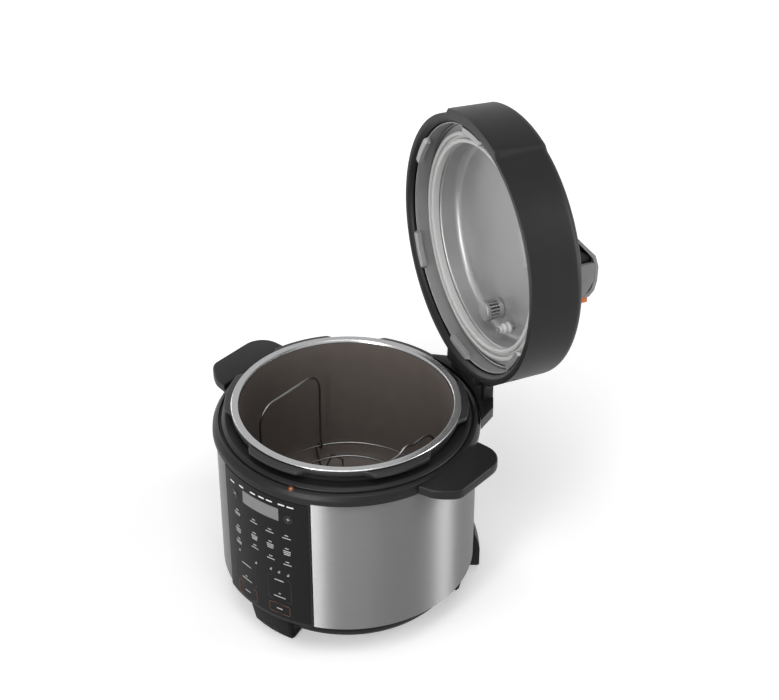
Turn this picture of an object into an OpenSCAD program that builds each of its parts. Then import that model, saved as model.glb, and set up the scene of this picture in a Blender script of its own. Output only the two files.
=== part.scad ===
// Electric pressure cooker: a round heated base with a control panel, a lift-out inner pot,
// a wire steaming rack, and a hinged lid that turns to lock under six lugs.
// Origin on the cooker's axis at the floor, +Z up, control panel facing -Y.
// Everything is drawn as it stands at rest: pot and rack seated, lid open on its stop.

/* [Body] */
// Outside diameter of the steel band
band_d = 273; // [268:0.5:280]
// Thickness of the steel band
band_t = 0.8; // [0.6:0.1:1.2]
// Height of the band's lower edge above the floor
band_z = 39.5; // [36:0.5:46]
// Wall of the plastic mouldings
wall = 2.5; // [2:0.1:3]
// Height of the bottom cover's underside above the floor
underside_z = 5.5; // [5:0.5:8]
// Radius of the bottom cover's rounded lower edge
base_round = 27.5; // [24:0.5:30]
// How far a foot's outer edge stands in from the band
foot_inset = 11.5; // [10:0.5:16]
// Width of the front foot, in degrees round the base
front_foot = 26; // [20:1:36]
// Width of a rear foot, in degrees round the base
rear_foot = 12; // [10:0.5:13]
// Thickness of a foot's rubber pad
pad_t = 2.3; // [1.5:0.1:3]

/* [Top ring] */
// Height of the top ring above the steel band
ring_h = 14.5; // [13:0.5:20]
// How far the top ring stands out past the band
ring_proud = 3.5; // [3:0.1:5]
// Reach of a side handle from the axis
handle_reach = 173; // [165:1:185]
// Half of a side handle's width
handle_half_w = 49; // [40:1:55]
// Corner radius of a side handle
handle_corner = 26; // [15:1:30]
// Thickness of a side handle
handle_t = 11; // [9:0.5:13]
// How far the side handles sit towards the back
handle_shift = 3; // [0:0.5:8]

/* [Pressure lip] */
// Width from the band's outside to the opening for the inner pot
opening_inset = 21.7; // [21:0.1:23]
// Thickness of the outer pot's sheet
neck_t = 1.2; // [1:0.1:1.5]
// Height of the lip above the top ring
lip_rise = 13; // [12:0.5:16]
// Thickness of a lug
lug_t = 5; // [4:0.5:6]
// Reach of a lug past the opening
lug_reach = 12.2; // [11:0.2:13]
// Width of a lug, in degrees
lug_angle = 26.5; // [22:0.5:28]
// Width of the slope beside a lug, in degrees
lug_ramp = 6; // [4:0.5:7]

/* [Inner pot] */
// Height of the inner pot
pot_h = 162; // [150:1:170]
// How far the foot of the inner pot's wall stands in from the opening
pot_foot_inset = 5.8; // [5:0.1:8]
// Wall of the inner pot
pot_t = 1.8; // [1.2:0.1:2.2]
// Radius of the inner pot's lower corner
pot_corner = 34; // [28:1:38]
// Width of the rim that the inner pot hangs by
pot_rim_w = 8; // [7:0.5:9]

/* [Rack] */
// How far the rack's outer ring stands in from the pot's wall
rack_inset = 15.9; // [15:0.1:18]
// Diameter of the ring and leg wire
rack_wire = 2.5; // [2:0.1:3]
// Diameter of the handle wire
grip_wire = 3; // [2.5:0.1:3.4]
// Depth of the rack's legs
rack_leg = 30; // [24:0.5:36]
// Height of the rack's handles
grip_h = 107; // [90:1:112]

/* [Lid] */
// Height of the lid's side wall
lid_side_h = 59; // [57:0.5:64]
// Radius of the lid's upper edge
lid_round = 9; // [6:0.5:11]
// Rise of the lid's top above its side
lid_dome = 6.5; // [5:0.5:9]
// Depth of the steel liner
liner_depth = 48.5; // [46:0.5:50]
// Thickness of the steel liner
liner_t = 1; // [0.8:0.1:1.2]
// Height of the lid handle above the lid's rim
lid_handle_h = 102; // [96:1:108]
// Length of the lid handle
lid_handle_l = 186; // [170:2:196]
// Angle that the lid opens to
open_angle = 91; // [85:0.5:95]
// Place of the hinge round the base, in degrees
hinge_angle = 65; // [60:1:70]

/* [Control panel] */
// Width of the control panel, in degrees round the body
panel_angle = 48.4; // [46:0.2:54]
// Place of the panel's middle round the body, in degrees
panel_mid = -88.2; // [-92:0.2:-86]
// How far the panel stands out past the band
panel_proud = 2.8; // [2.4:0.1:3.4]
// Width of the display window, in degrees
display_angle = 20; // [16:1:24]
// Height of the display window
display_h = 16; // [12:0.5:20]
// Height of the display window's middle, below the top of the band
display_drop = 23.5; // [20:0.5:30]

/* [Clearances] */
// Gap between pieces that seat on each other
seat_gap = 0.3; // [0.2:0.05:0.4]
// Radial gap between a pin and its bore
pin_gap = 0.08; // [0.04:0.01:0.1]
// Gap beside a part that slides
slide_gap = 0.5; // [0.3:0.1:0.6]

/* [Hidden] */
$fn = 96;
eps = 0.01;

// Body
band_r = band_d / 2;
band_in = band_r - band_t;
band_h = pot_h + 3;                     // the body is as deep as the pot needs
band_top = band_z + band_h;
spigot_r = band_in - seat_gap;          // mouldings that plug into the band
spigot_in = spigot_r - wall;
spigot_h = 12.5;
ledge_r = band_r - 0.7;                 // the bottom cover's edge under the band
floor_z = underside_z + wall;
feet = [[-90, front_foot / 2], [30, rear_foot / 2], [150, rear_foot / 2]];
foot_r = band_r - foot_inset;
foot_w = 19;
foot_top = 30;

// Top ring
ring_r = band_r + ring_proud;
ring_top = band_top + ring_h;
ring_skirt_z = band_top + seat_gap;
ring_plate_t = 3.5;
handle_top = ring_top - 2.5;
handle_z = handle_top - handle_t;
handle_edge = 1.6;

// Pressure lip
opening_r = band_r - opening_inset;
neck_r = opening_r + neck_t;
notch_r = opening_r + 4.7;
lug_r = opening_r + lug_reach;
lip_top = ring_top + lip_rise;
ring_in = neck_r + 1;
flange_r = neck_r + 11;
flange_z = ring_top - ring_plate_t - seat_gap;
lugs = [-149, -85.4, -21.6, 42, 98.3, 154.7];   // closer together towards the back
notches = [-117.2, -53.5, 10.2, 70.1, 126.5, 182.9];

// Inner pot
pot_rim_z = lip_top + seat_gap;
pot_rim_t = 1.8;
pot_rim_r = opening_r + 5.2;
pot_in_top = pot_rim_r - pot_rim_w;
pot_z = pot_rim_z + pot_rim_t - pot_h;
pot_foot_r = opening_r - pot_foot_inset;
pot_top_r = opening_r - 2.2;
pot_lift = 186;

// Heating
plate_top = pot_z - seat_gap;
plate_t = 8;
plate_r = pot_foot_r - 26;
element_r = plate_r - 25;
cavity_r = plate_r + 13;
cavity_floor_z = plate_top - plate_t - 9.8;
element_tube = 3.8;
sensor_r = 17.5;
sensor_travel = 2;

// Rack
wire_r = rack_wire / 2;
grip_r = grip_wire / 2;
ring_out = pot_foot_r - rack_inset;
rack_rings_r = [for (share = [1, 0.736, 0.49, 0.258]) share * ring_out];
leg_x = ring_out - 17.1;
leg_y = 0.483 * ring_out;
grip_half_w = leg_y + 1;
leg_half = 11;
corner_in = pot_corner - pot_t;
corner_mid_r = pot_foot_r - pot_corner;
leg_out = norm([leg_x, leg_y]) - corner_mid_r;
leg_seat = corner_in - wire_r - seat_gap;
rack_z = pot_z + pot_corner - sqrt(leg_seat * leg_seat - leg_out * leg_out) + rack_leg;
rack_lift = 197.3;
grip_x = sqrt(ring_out * ring_out - grip_half_w * grip_half_w);
eye_r = 3.7;
eye_wire = 1.2;

// Lid, drawn closed in a frame turned so that the hinge lies on +X, and then opened
lid_z = ring_top - 0.7;
lid_r = ring_r + 1;
lid_in = lug_r + 4.3;
hinge_r = lid_r + 6;
hinge_z = lid_z + 15.5;
barrel_r = 5.5;
pin_r = 2.5;
barrel_half = 30.4;
ear_t = 7;
skirt_r = lid_in - 0.8;
shoulder_z = lid_z + 24.2;
dish_r = opening_r - 6.6;
liner_top = lid_z + liner_depth;
cover_wall = lid_r - wall;
lid_top = lid_z + lid_side_h;
dome_top = lid_top + lid_dome;
lock_twist = 25;
lid_lug_half = 9;
slot_z = lid_z + 8;
slot_h = 5;
shoe_half = 26;
tongue_half = 20;
block_half = 22.5;
block_proud = 3.2;
steam_at = [dish_r - 25.2, 4];
float_at = [dish_r - 20.2, -27];
button_at = [28, 8 - lid_handle_l / 2];
lever_z = lid_z + 54.8;
lever_t = 2.4;
button_travel = 2.2;
float_travel = 4;

// Panel
panel_r = band_r + panel_proud;
panel_half = panel_angle / 2 - 0.2;
sheet_t = 0.6;
panel_face = panel_r - sheet_t;
display_z = band_top - display_drop;

black = [0.08, 0.08, 0.085];
steel = [0.72, 0.72, 0.73];
dark_metal = [0.2, 0.2, 0.21];

// ---- shared shapes ----

// A ring between two radii and two heights
module ring(r0, r1, z0, z1) {
  rotate_extrude() translate([r0, z0]) square([r1 - r0, z1 - z0]);
}

// A stretch of ring between two angles
module arc_ring(r0, r1, z0, z1, a0, a1) {
  rotate([0, 0, a0]) rotate_extrude(angle = a1 - a0) translate([r0, z0]) square([r1 - r0, z1 - z0]);
}

// A ring of round wire
module wire_ring(r, wire, z, sides = 24) {
  translate([0, 0, z]) rotate_extrude() translate([r, 0]) circle(r = wire, $fn = sides);
}

// Points of an arc in a profile
function arc(x, y, r, a0, a1, steps = 8) =
  [for (i = [0:steps]) let (a = a0 + (a1 - a0) * i / steps) [x + r * cos(a), y + r * sin(a)]];

function unit(v) = v / norm(v);

// Directions of a path at its points
function headings(path) =
  [for (i = [0:len(path) - 1])
    unit(path[min(i + 1, len(path) - 1)] - path[max(i - 1, 0)])];

// A round tube along a path; side is a direction that the path never takes
module tube(path, r, side, sides = 8) {
  dirs = headings(path);
  rings = [for (i = [0:len(path) - 1])
    let (u = unit(cross(side, dirs[i])), v = cross(dirs[i], u))
    for (k = [0:sides - 1]) path[i] + r * (u * cos(360 * k / sides) + v * sin(360 * k / sides))];
  last = len(path) - 1;
  walls = [for (i = [0:last - 1], k = [0:sides - 1])
    let (a = i * sides + k, b = i * sides + (k + 1) % sides)
    [a, a + sides, b + sides, b]];
  start = [[for (k = [0:sides - 1]) k]];
  end = [[for (k = [sides - 1:-1:0]) last * sides + k]];
  polyhedron(points = rings, faces = concat(walls, start, end));
}

// A coil spring standing on its end
module coil(r, wire, height, turns, sides = 6) {
  steps = turns * 16;
  path = [for (i = [0:steps])
    [r * cos(360 * i / 16), r * sin(360 * i / 16), wire + (height - 2 * wire) * i / steps]];
  tube(path, wire, [0, 0, 1], sides);
}

// Turns a piece drawn closed, with the hinge on +X, to where the open lid carries it
module opened() {
  rotate([0, 0, hinge_angle]) translate([hinge_r, 0, hinge_z]) rotate([0, open_angle, 0])
    translate([-hinge_r, 0, -hinge_z]) children();
}

// ---- base ----

inlet_angle = 45;
inlet_half = 7;
inlet_z0 = underside_z + 7.5;
inlet_z1 = inlet_z0 + 44;
inlet_out = band_r + 7.5;
inlet_in = band_r - 22.5;
inlet_mid = band_z - 4;
board_z = floor_z + 16;
board_at = [0, -20];
board_size = [110, 76];
boss_at = [[-50, -28], [50, -28], [-44, 33], [44, 33]];

// The hole that the power inlet fills in the bottom cover's wall
module inlet_space(gap) {
  side = inlet_half + gap / band_r * 57.3;
  arc_ring(inlet_in - gap, inlet_out + 10, inlet_z0 - gap, inlet_mid + gap,
    inlet_angle - side, inlet_angle + side);
}

module bottom_cover() {
  mid = foot_r - base_round;
  color(black) difference() {
    union() {
      rotate_extrude() polygon(concat(
        [[0, underside_z]],
        arc(mid, underside_z + base_round, base_round, -90, 0),
        [[ledge_r, band_z - seat_gap], [spigot_r, band_z - seat_gap], [spigot_r, band_z + spigot_h],
         [spigot_in, band_z + spigot_h], [spigot_in, band_z - 2]],
        arc(mid, underside_z + base_round, base_round - wall, 0, -90),
        [[0, floor_z]]));
      for (f = feet) rotate([0, 0, f[0] - f[1]]) rotate_extrude(angle = 2 * f[1])
        polygon(concat([[foot_r - foot_w, pad_t], [foot_r, pad_t], [foot_r + 4, foot_top - 8],
          [foot_r + 5, foot_top]],
          arc(mid, underside_z + base_round, base_round - wall / 2, 0, -70)));
      for (p = boss_at) translate([board_at[0] + p[0], board_at[1] + p[1], floor_z - 1])
        cylinder(r = 4, h = board_z - floor_z + 1, $fn = 24);
    }
    inlet_space(seat_gap);
    // vent slots through the underside
    for (a = [-90, 30, 150], i = [-2:2]) rotate([0, 0, a + 60 + 7 * i]) translate([50, -1.5, 0])
      cube([30, 3, floor_z + 1]);
    for (a = screw_angles) rotate([0, 0, a]) translate([screw_ring, 0, 0])
      cylinder(r = screw_r + 0.3, h = floor_z + 4, $fn = 24);
  }
}

module rubber_feet() {
  color([0.16, 0.16, 0.16]) for (f = feet)
    arc_ring(foot_r - foot_w + 3, foot_r - 2, 0, pad_t, f[0] - f[1] + 1, f[0] + f[1] - 1);
}

screw_angles = [-30, 90, 210];
screw_ring = foot_r - 29;
screw_r = 2;

module base_screws() {
  color(steel) for (a = screw_angles) rotate([0, 0, a]) translate([screw_ring, 0, 0]) {
    difference() {
      translate([0, 0, underside_z - 2.2]) cylinder(r = 3.8, h = 2, $fn = 32);
      translate([0, 0, underside_z - 2.3]) for (t = [0, 90]) rotate([0, 0, t])
        translate([-2, -0.4, 0]) cube([4, 0.8, 1]);
    }
    translate([0, 0, underside_z - 0.3]) cylinder(r = screw_r, h = 14, $fn = 24);
  }
}

module steel_band() {
  color(steel) arc_ring(band_in, band_r, band_z, band_top,
    panel_mid + panel_angle / 2, panel_mid + 360 - panel_angle / 2);
}

// Outline of a side handle, drawn in by inset
module handle_plan(inset) {
  r = handle_corner - inset;
  x = handle_reach - handle_corner;
  y = handle_half_w - handle_corner;
  root = ring_r - 6;
  intersection() {
    union() {
      translate([root, -handle_half_w + inset]) square([x - root, 2 * (handle_half_w - inset)]);
      translate([root, -y]) square([handle_reach - inset - root, 2 * y]);
      for (s = [-1, 1]) translate([x, s * y]) circle(r = r);
    }
    translate([root, -handle_half_w]) square([handle_reach, 2 * handle_half_w]);
  }
}

module side_handle() {
  difference() {
    union() {
      translate([0, 0, handle_z + handle_edge]) linear_extrude(handle_t - 2 * handle_edge) handle_plan(0);
      translate([0, 0, handle_z]) linear_extrude(handle_t) handle_plan(handle_edge);
    }
    // the hollow that fingers hook into
    translate([0, 0, handle_z - 1]) linear_extrude(handle_t - 4) intersection() {
      handle_plan(4);
      translate([ring_r + 3, -handle_half_w]) square([handle_reach, 2 * handle_half_w]);
    }
  }
}

module top_ring() {
  color(black) difference() {
    union() {
      rotate_extrude() polygon([
        [ring_in, ring_top - ring_plate_t], [ring_in, ring_top], [lug_r, ring_top],
        [lug_r + 0.8, ring_top - 1.7], [lid_in + 0.5, ring_top - 1.7],
        [ring_r - 2.5, ring_top - 5], [ring_r - 0.4, ring_top - 8.5], [ring_r, ring_top - 11],
        [ring_r, ring_skirt_z], [spigot_r, ring_skirt_z], [spigot_r, band_top - 8.5],
        [spigot_in, band_top - 8.5], [spigot_in, ring_top - 8], [lug_r + 2, ring_top - ring_plate_t]]);
      for (t = [0, 180]) rotate([0, 0, t]) translate([0, t == 0 ? handle_shift : -handle_shift, 0])
        side_handle();
    }
    // a side handle's root stops at the ring's own wall
    ring(1, spigot_in, handle_z - 2, ring_top - 8);
  }
}

module hinge_bracket() {
  top = ring_top - 3.5;
  ear_y = barrel_half + 0.6;
  color(black) rotate([0, 0, hinge_angle]) difference() {
    union() {
      translate([0, 0, top - 12]) linear_extrude(12) polygon([
        [ring_r - 20, -72], [ring_r - 17.5, -68.5], [ring_r + 5, -53], [ring_r + 13, -38],
        [ring_r + 16, -20], [ring_r + 16, 20], [ring_r + 13, 38], [ring_r + 5, 53],
        [ring_r - 17.5, 68.5], [ring_r - 20, 72]]);
      for (s = [-1, 1]) translate([hinge_r, s * (ear_y + ear_t / 2), 0]) {
        translate([0, 0, hinge_z]) rotate([90, 0, 0]) cylinder(r = barrel_r, h = ear_t, center = true, $fn = 48);
        translate([-barrel_r, -ear_t / 2, top - 1]) cube([2 * barrel_r, ear_t, hinge_z - top + 1]);
      }
    }
    translate([0, 0, -eps]) cylinder(r = ring_r + seat_gap, h = top + 1);
    translate([hinge_r, 0, hinge_z]) rotate([90, 0, 0])
      cylinder(r = pin_r + pin_gap, h = 2 * (ear_y + ear_t) + 2, center = true, $fn = 48);
  }
}

module hinge_pin() {
  half = barrel_half + 0.6 + ear_t;
  color(steel) rotate([0, 0, hinge_angle]) translate([hinge_r, 0, hinge_z]) rotate([90, 0, 0]) {
    cylinder(r = pin_r, h = 2 * half, center = true, $fn = 48);
    for (s = [-1, 1]) translate([0, 0, s * (half + 0.95)])
      cylinder(r = pin_r + 1.5, h = 1.5, center = true, $fn = 48);
    for (s = [-1, 1]) translate([0, 0, s * (half + 0.2)])
      cylinder(r = pin_r, h = 0.6, center = true, $fn = 48);
  }
}

// Plan of one lug: a flat arc with a slope at each side
module lug_plan(a) {
  steps = 8;
  half = lug_angle / 2;
  foot = half + lug_ramp;
  polygon(concat(
    [for (i = [0:steps]) let (t = a - half + 2 * half * i / steps) lug_r * [cos(t), sin(t)]],
    [for (i = [0:steps]) let (t = a + foot - 2 * foot * i / steps) (notch_r - 1) * [cos(t), sin(t)]]));
}

module outer_pot() {
  low = cavity_floor_z;
  shelf = plate_top + 14;
  color(dark_metal) difference() {
    union() {
      rotate_extrude() polygon([
        [opening_r, lip_top - 0.8], [opening_r + 0.8, lip_top], [notch_r - 0.8, lip_top],
        [notch_r, lip_top - 0.8], [notch_r, lip_top - lug_t], [neck_r, lip_top - lug_t - 2],
        [neck_r, flange_z], [flange_r, flange_z], [flange_r, flange_z - neck_t],
        [neck_r, flange_z - neck_t], [neck_r, shelf - 0.5], [cavity_r + neck_t, low + 1.5],
        [cavity_r - 4, low - neck_t], [0, low - neck_t], [0, low], [cavity_r - 4.5, low],
        [cavity_r, low + 3], [opening_r, shelf]]);
      for (a = lugs) translate([0, 0, lip_top - lug_t]) linear_extrude(lug_t - 0.6) lug_plan(a);
    }
    cylinder(r = sensor_stem_r + 6, h = low + 5, $fn = 48);
    for (a = [-1, 1]) rotate([0, 0, 270 + a * 20]) translate([element_r, 0, 0])
      cylinder(r = element_tube + 2, h = low + 5, $fn = 32);
    translate([0, 0, lip_top]) cylinder(r = lug_r + 5, h = 10);
  }
}

sensor_stem_r = 4;

module heating_plate() {
  color([0.6, 0.6, 0.6]) difference() {
    union() {
      rotate_extrude() polygon(concat([[0, plate_top - plate_t], [plate_r - 2, plate_top - plate_t]],
        arc(plate_r - 3, plate_top - 3, 3, 0, 90), [[0, plate_top]]));
      for (a = [30, 150, 270]) rotate([0, 0, a]) translate([plate_r - 9, 0, cavity_floor_z + seat_gap])
        cylinder(r = 5, h = plate_top - plate_t - cavity_floor_z, $fn = 32);
    }
    cylinder(r = sensor_r + 1, h = plate_top + 1);
  }
}

module heating_element() {
  z = plate_top - plate_t - element_tube - seat_gap;
  color([0.45, 0.42, 0.4]) {
    translate([0, 0, z]) rotate([0, 0, 290]) rotate_extrude(angle = 320)
      translate([element_r, 0]) circle(r = element_tube, $fn = 40);
    for (a = [-1, 1]) rotate([0, 0, 270 + a * 20]) translate([element_r, 0, 0]) {
      translate([0, 0, z - 20]) cylinder(r = element_tube - 0.6, h = 20, $fn = 48);
      translate([0, 0, z]) sphere(r = element_tube - 0.3, $fn = 32);
    }
  }
}

sensor_cap_t = 7;
guide_z = cavity_floor_z - 1.2 - seat_gap;

module sensor_guide() {
  color([0.75, 0.7, 0.6]) difference() {
    union() {
      translate([0, 0, guide_z - 10]) cylinder(r = sensor_stem_r + 3.5, h = 12, $fn = 48);
      translate([0, 0, guide_z - 2]) cylinder(r = 16, h = 2, $fn = 48);
    }
    translate([0, 0, guide_z - 20]) cylinder(r = sensor_stem_r + slide_gap, h = 30, $fn = 48);
  }
}

module sensor_cap() {
  z1 = plate_top;
  color([0.8, 0.8, 0.8]) {
    difference() {
      rotate_extrude() polygon(concat([[0, z1 - sensor_cap_t], [sensor_r, z1 - sensor_cap_t]],
        arc(sensor_r - 2, z1 - 2, 2, 0, 90, 4), [[0, z1]]));
      translate([0, 0, z1 - sensor_cap_t - 1]) ring(sensor_stem_r, sensor_r - 2, 0, sensor_cap_t - 0.5);
    }
    translate([0, 0, guide_z - 14]) cylinder(r = sensor_stem_r, h = z1 - 1 - guide_z + 14, $fn = 48);
    translate([0, 0, guide_z - 15]) cylinder(r = sensor_stem_r + 2, h = 2, $fn = 48);
  }
}

module sensor_spring() {
  low = guide_z + seat_gap;
  color(steel) translate([0, 0, low])
    coil(sensor_stem_r + 4.5, 0.7, plate_top - 1.5 - seat_gap - low, 5);
}

module pressure_switch() {
  z = cavity_floor_z - neck_t - seat_gap;
  color([0.85, 0.83, 0.78]) translate([58, -8, z - 11]) cube([24, 16, 11]);
  color([0.7, 0.2, 0.15]) translate([64, 0, z - 15]) cylinder(r = 2, h = 4, $fn = 24);
}

module thermal_fuse() {
  z = cavity_floor_z - neck_t - seat_gap;
  color([0.9, 0.9, 0.85]) {
    translate([-14, 55, z - 3.4]) rotate([0, 90, 0]) cylinder(r = 3.2, h = 28, $fn = 32);
    for (x = [-20, 14]) translate([x, 55, z - 3.4]) rotate([0, 90, 0]) cylinder(r = 0.8, h = 6, $fn = 16);
  }
}

module power_board() {
  color([0.1, 0.35, 0.18]) translate([board_at[0], board_at[1], board_z]) difference() {
    translate([-board_size[0] / 2, -board_size[1] / 2, 0]) cube([board_size[0], board_size[1], 1.6]);
    for (p = boss_at) translate([p[0], p[1], -1]) cylinder(r = 1.8, h = 4, $fn = 24);
  }
}

module board_parts() {
  color([0.2, 0.2, 0.22]) translate([board_at[0], board_at[1], board_z + 1.6]) {
    translate([-44, -22, 0]) cube([26, 30, 14]);
    translate([-10, -26, 0]) cube([19, 15, 13]);
    translate([14, -26, 0]) cube([19, 15, 13]);
    for (x = [-6, 10, 26]) translate([x, 6, 0]) cylinder(r = 5.5, h = 13, $fn = 32);
    translate([38, 12, 0]) cube([10, 14, 9]);
    translate([-40, 18, 0]) cube([20, 8, 9]);
  }
}

// ---- control panel ----

// A stretch of ring centred on the panel
module front_arc(r0, r1, z0, z1, half) {
  arc_ring(r0, r1, z0, z1, panel_mid - half, panel_mid + half);
}

module panel_housing() {
  back = spigot_in - seat_gap;
  low = band_z + spigot_h + seat_gap;
  high = band_top - 8.5 - seat_gap;
  color(black) difference() {
    union() {
      rotate([0, 0, panel_mid - panel_half]) rotate_extrude(angle = 2 * panel_half) polygon([
        [back, low], [spigot_r + seat_gap, low], [spigot_r + seat_gap, band_z], [panel_face, band_z],
        [panel_face, band_top], [spigot_r + seat_gap, band_top], [spigot_r + seat_gap, high], [back, high]]);
      front_arc(back + 0.5, spigot_r, low + 1, high - 1, panel_half + 3);
      for (x = [-24, 24], z = [band_top - 98, band_top - 20])
        rotate([0, 0, panel_mid + 90]) translate([x, -back - 1, z]) rotate([-90, 0, 0])
          cylinder(r = 3, h = back + 1 - board_y, $fn = 24);
    }
    front_arc(back - 4, panel_r + 1, display_z - display_h / 2 - 0.2, display_z + display_h / 2 + 0.2,
      display_angle / 2 + 0.1);
  }
}

board_y = band_r - 12;

module panel_overlay() {
  color([0.05, 0.05, 0.055]) difference() {
    front_arc(panel_face + 0.05, panel_r, band_z + 4, band_top - 3, panel_half - 0.8);
    front_arc(panel_face - 1, panel_r + 1, display_z - display_h / 2, display_z + display_h / 2,
      display_angle / 2);
  }
}

module display_lens() {
  color([0.6, 0.62, 0.64]) front_arc(panel_face - 1.5, panel_r - 0.1, display_z - display_h / 2 + 0.1,
    display_z + display_h / 2 - 0.1, display_angle / 2 - 0.1);
}

module display_board() {
  color([0.1, 0.35, 0.18]) rotate([0, 0, panel_mid + 90])
    translate([-28, -board_y + 0.2, band_top - 104]) cube([56, 1.6, 92]);
}

module display_module() {
  color([0.3, 0.32, 0.35]) rotate([0, 0, panel_mid + 90])
    translate([-20, -board_y - 3.8, display_z - 9]) cube([40, 4, 18]);
}

// ---- power inlet ----

module power_inlet() {
  color(black) difference() {
    rotate([0, 0, inlet_angle - inlet_half]) rotate_extrude(angle = 2 * inlet_half) polygon([
      [inlet_in, inlet_z0], [inlet_out - 2, inlet_z0], [inlet_out, inlet_z0 + 2],
      [inlet_out, inlet_z0 + 22], [inlet_out - 1.2, inlet_z0 + 30], [inlet_out - 3.6, inlet_z0 + 38],
      [band_r + 1.5, inlet_z1], [band_r + seat_gap, inlet_z1], [band_r + seat_gap, inlet_mid],
      [inlet_in, inlet_mid]]);
    rotate([0, 0, inlet_angle]) translate([inlet_out - 18, -12, inlet_z0 + 2.5]) cube([30, 24, 17]);
  }
}

module inlet_pins() {
  color([0.75, 0.65, 0.35]) rotate([0, 0, inlet_angle])
    for (p = [[-7, 7], [7, 7], [0, 12]]) translate([inlet_out - 18, p[0] - 1, inlet_z0 + p[1]])
      cube([12, 2, 4]);
}

// ---- inner pot and rack ----

module inner_pot() {
  c = pot_foot_r - pot_corner;
  zc = pot_z + pot_corner;
  edge = pot_rim_t / 2;
  color([0.25, 0.25, 0.26]) rotate_extrude() polygon(concat(
    [[0, pot_z], [c, pot_z]],
    arc(c, zc, pot_corner, -90, 0),
    [[pot_top_r, pot_rim_z - 4], [pot_top_r, pot_rim_z]],
    arc(pot_rim_r - edge, pot_rim_z + edge, edge, -90, 90, 6),
    [[pot_in_top, pot_rim_z + pot_rim_t], [pot_top_r - pot_t, pot_rim_z - 1], [pot_top_r - pot_t, pot_rim_z - 5]],
    arc(c, zc, pot_corner - pot_t, 0, -90),
    [[0, pot_z + pot_t]]));
}

module rack_rings() {
  color(steel) for (r = rack_rings_r) wire_ring(r, wire_r, rack_z);
}

// One bent wire: a leg, a bar across to the middle and a leg again; side is +1 or -1
function rack_path(s) =
  let (low = rack_z - rack_leg, high = rack_z - 2 * wire_r - 0.1, y = s * leg_y,
    half = [[leg_x + leg_half, y, high], [leg_x + leg_half - 1, y, high - 2], [leg_x + 4, y, low + 4],
      [leg_x + 2.5, y, low + 1], [leg_x, y, low], [leg_x - 2.5, y, low + 1], [leg_x - 4, y, low + 4],
      [leg_x - leg_half + 1, y, high - 2], [leg_x - leg_half - 1, y, high], [leg_x - 27, y, high],
      [leg_x - 30, y - s * 1, high], [10, s * 7, high], [6, s * 4.5, high]])
  concat(half, [for (i = [len(half) - 1:-1:0]) [-half[i][0], half[i][1], half[i][2]]]);

module rack_legs() {
  color(steel) for (s = [-1, 1]) tube(rack_path(s), wire_r, [0, 1, 0.001], 8);
}

// One folding handle of the rack: a wire bow on two eyes that ride on the outer ring
module rack_handle() {
  bend = 22;
  w = grip_half_w;
  h = grip_h;
  path = concat([[0, -w, eye_r], [0, -w, h - bend]],
    [for (i = [1:6]) [0, -w + bend - bend * cos(15 * i), h - bend + bend * sin(15 * i)]],
    [[0, -8, h], [0, -4, h + 2.5], [0, 4, h + 2.5], [0, 8, h]],
    [for (i = [6:-1:1]) [0, w - bend + bend * cos(15 * i), h - bend + bend * sin(15 * i)]],
    [[0, w, h - bend], [0, w, eye_r]]);
  tube(path, grip_r, [1, 0, 0], 10);
  for (s = [-1, 1]) translate([0, s * w, 0]) rotate([90, 0, 0]) difference() {
    cylinder(r = eye_r + eye_wire, h = 2 * eye_wire, center = true, $fn = 32);
    cylinder(r = eye_r - eye_wire, h = 4 * eye_wire, center = true, $fn = 32);
  }
}

module rack_handle_left() {
  color(steel) translate([-grip_x, 0, rack_z]) rack_handle();
}

module rack_handle_right() {
  color(steel) translate([grip_x, 0, rack_z]) rack_handle();
}

// ---- lid ----

module lid_carrier() {
  color(black) opened() {
    difference() {
      union() {
        arc_ring(lid_r + slide_gap, lid_r + 3.5, lid_z + 3, lid_z + 40, -shoe_half, shoe_half);
        translate([lid_r - 3, -barrel_half, lid_z + 0.5])
          cube([hinge_r + 3.5 - lid_r + 3, 2 * barrel_half, hinge_z - lid_z - 0.5]);
        translate([hinge_r, 0, hinge_z]) rotate([90, 0, 0])
          cylinder(r = barrel_r, h = 2 * barrel_half, center = true, $fn = 48);
      }
      cylinder(r = lid_r + slide_gap, h = lid_z + 60);
      translate([hinge_r, 0, hinge_z]) rotate([90, 0, 0])
        cylinder(r = pin_r + pin_gap, h = 2 * barrel_half + 2, center = true, $fn = 48);
    }
    arc_ring(cover_wall - 0.3, lid_r + slide_gap + eps, slot_z + 0.3, slot_z + slot_h - 0.3,
      -tongue_half, tongue_half);
  }
}

// Height of the lid's outside top over a radius
function top_at(r) = lid_top + lid_dome * (1 - pow(r / (lid_r - lid_round), 2));

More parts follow.
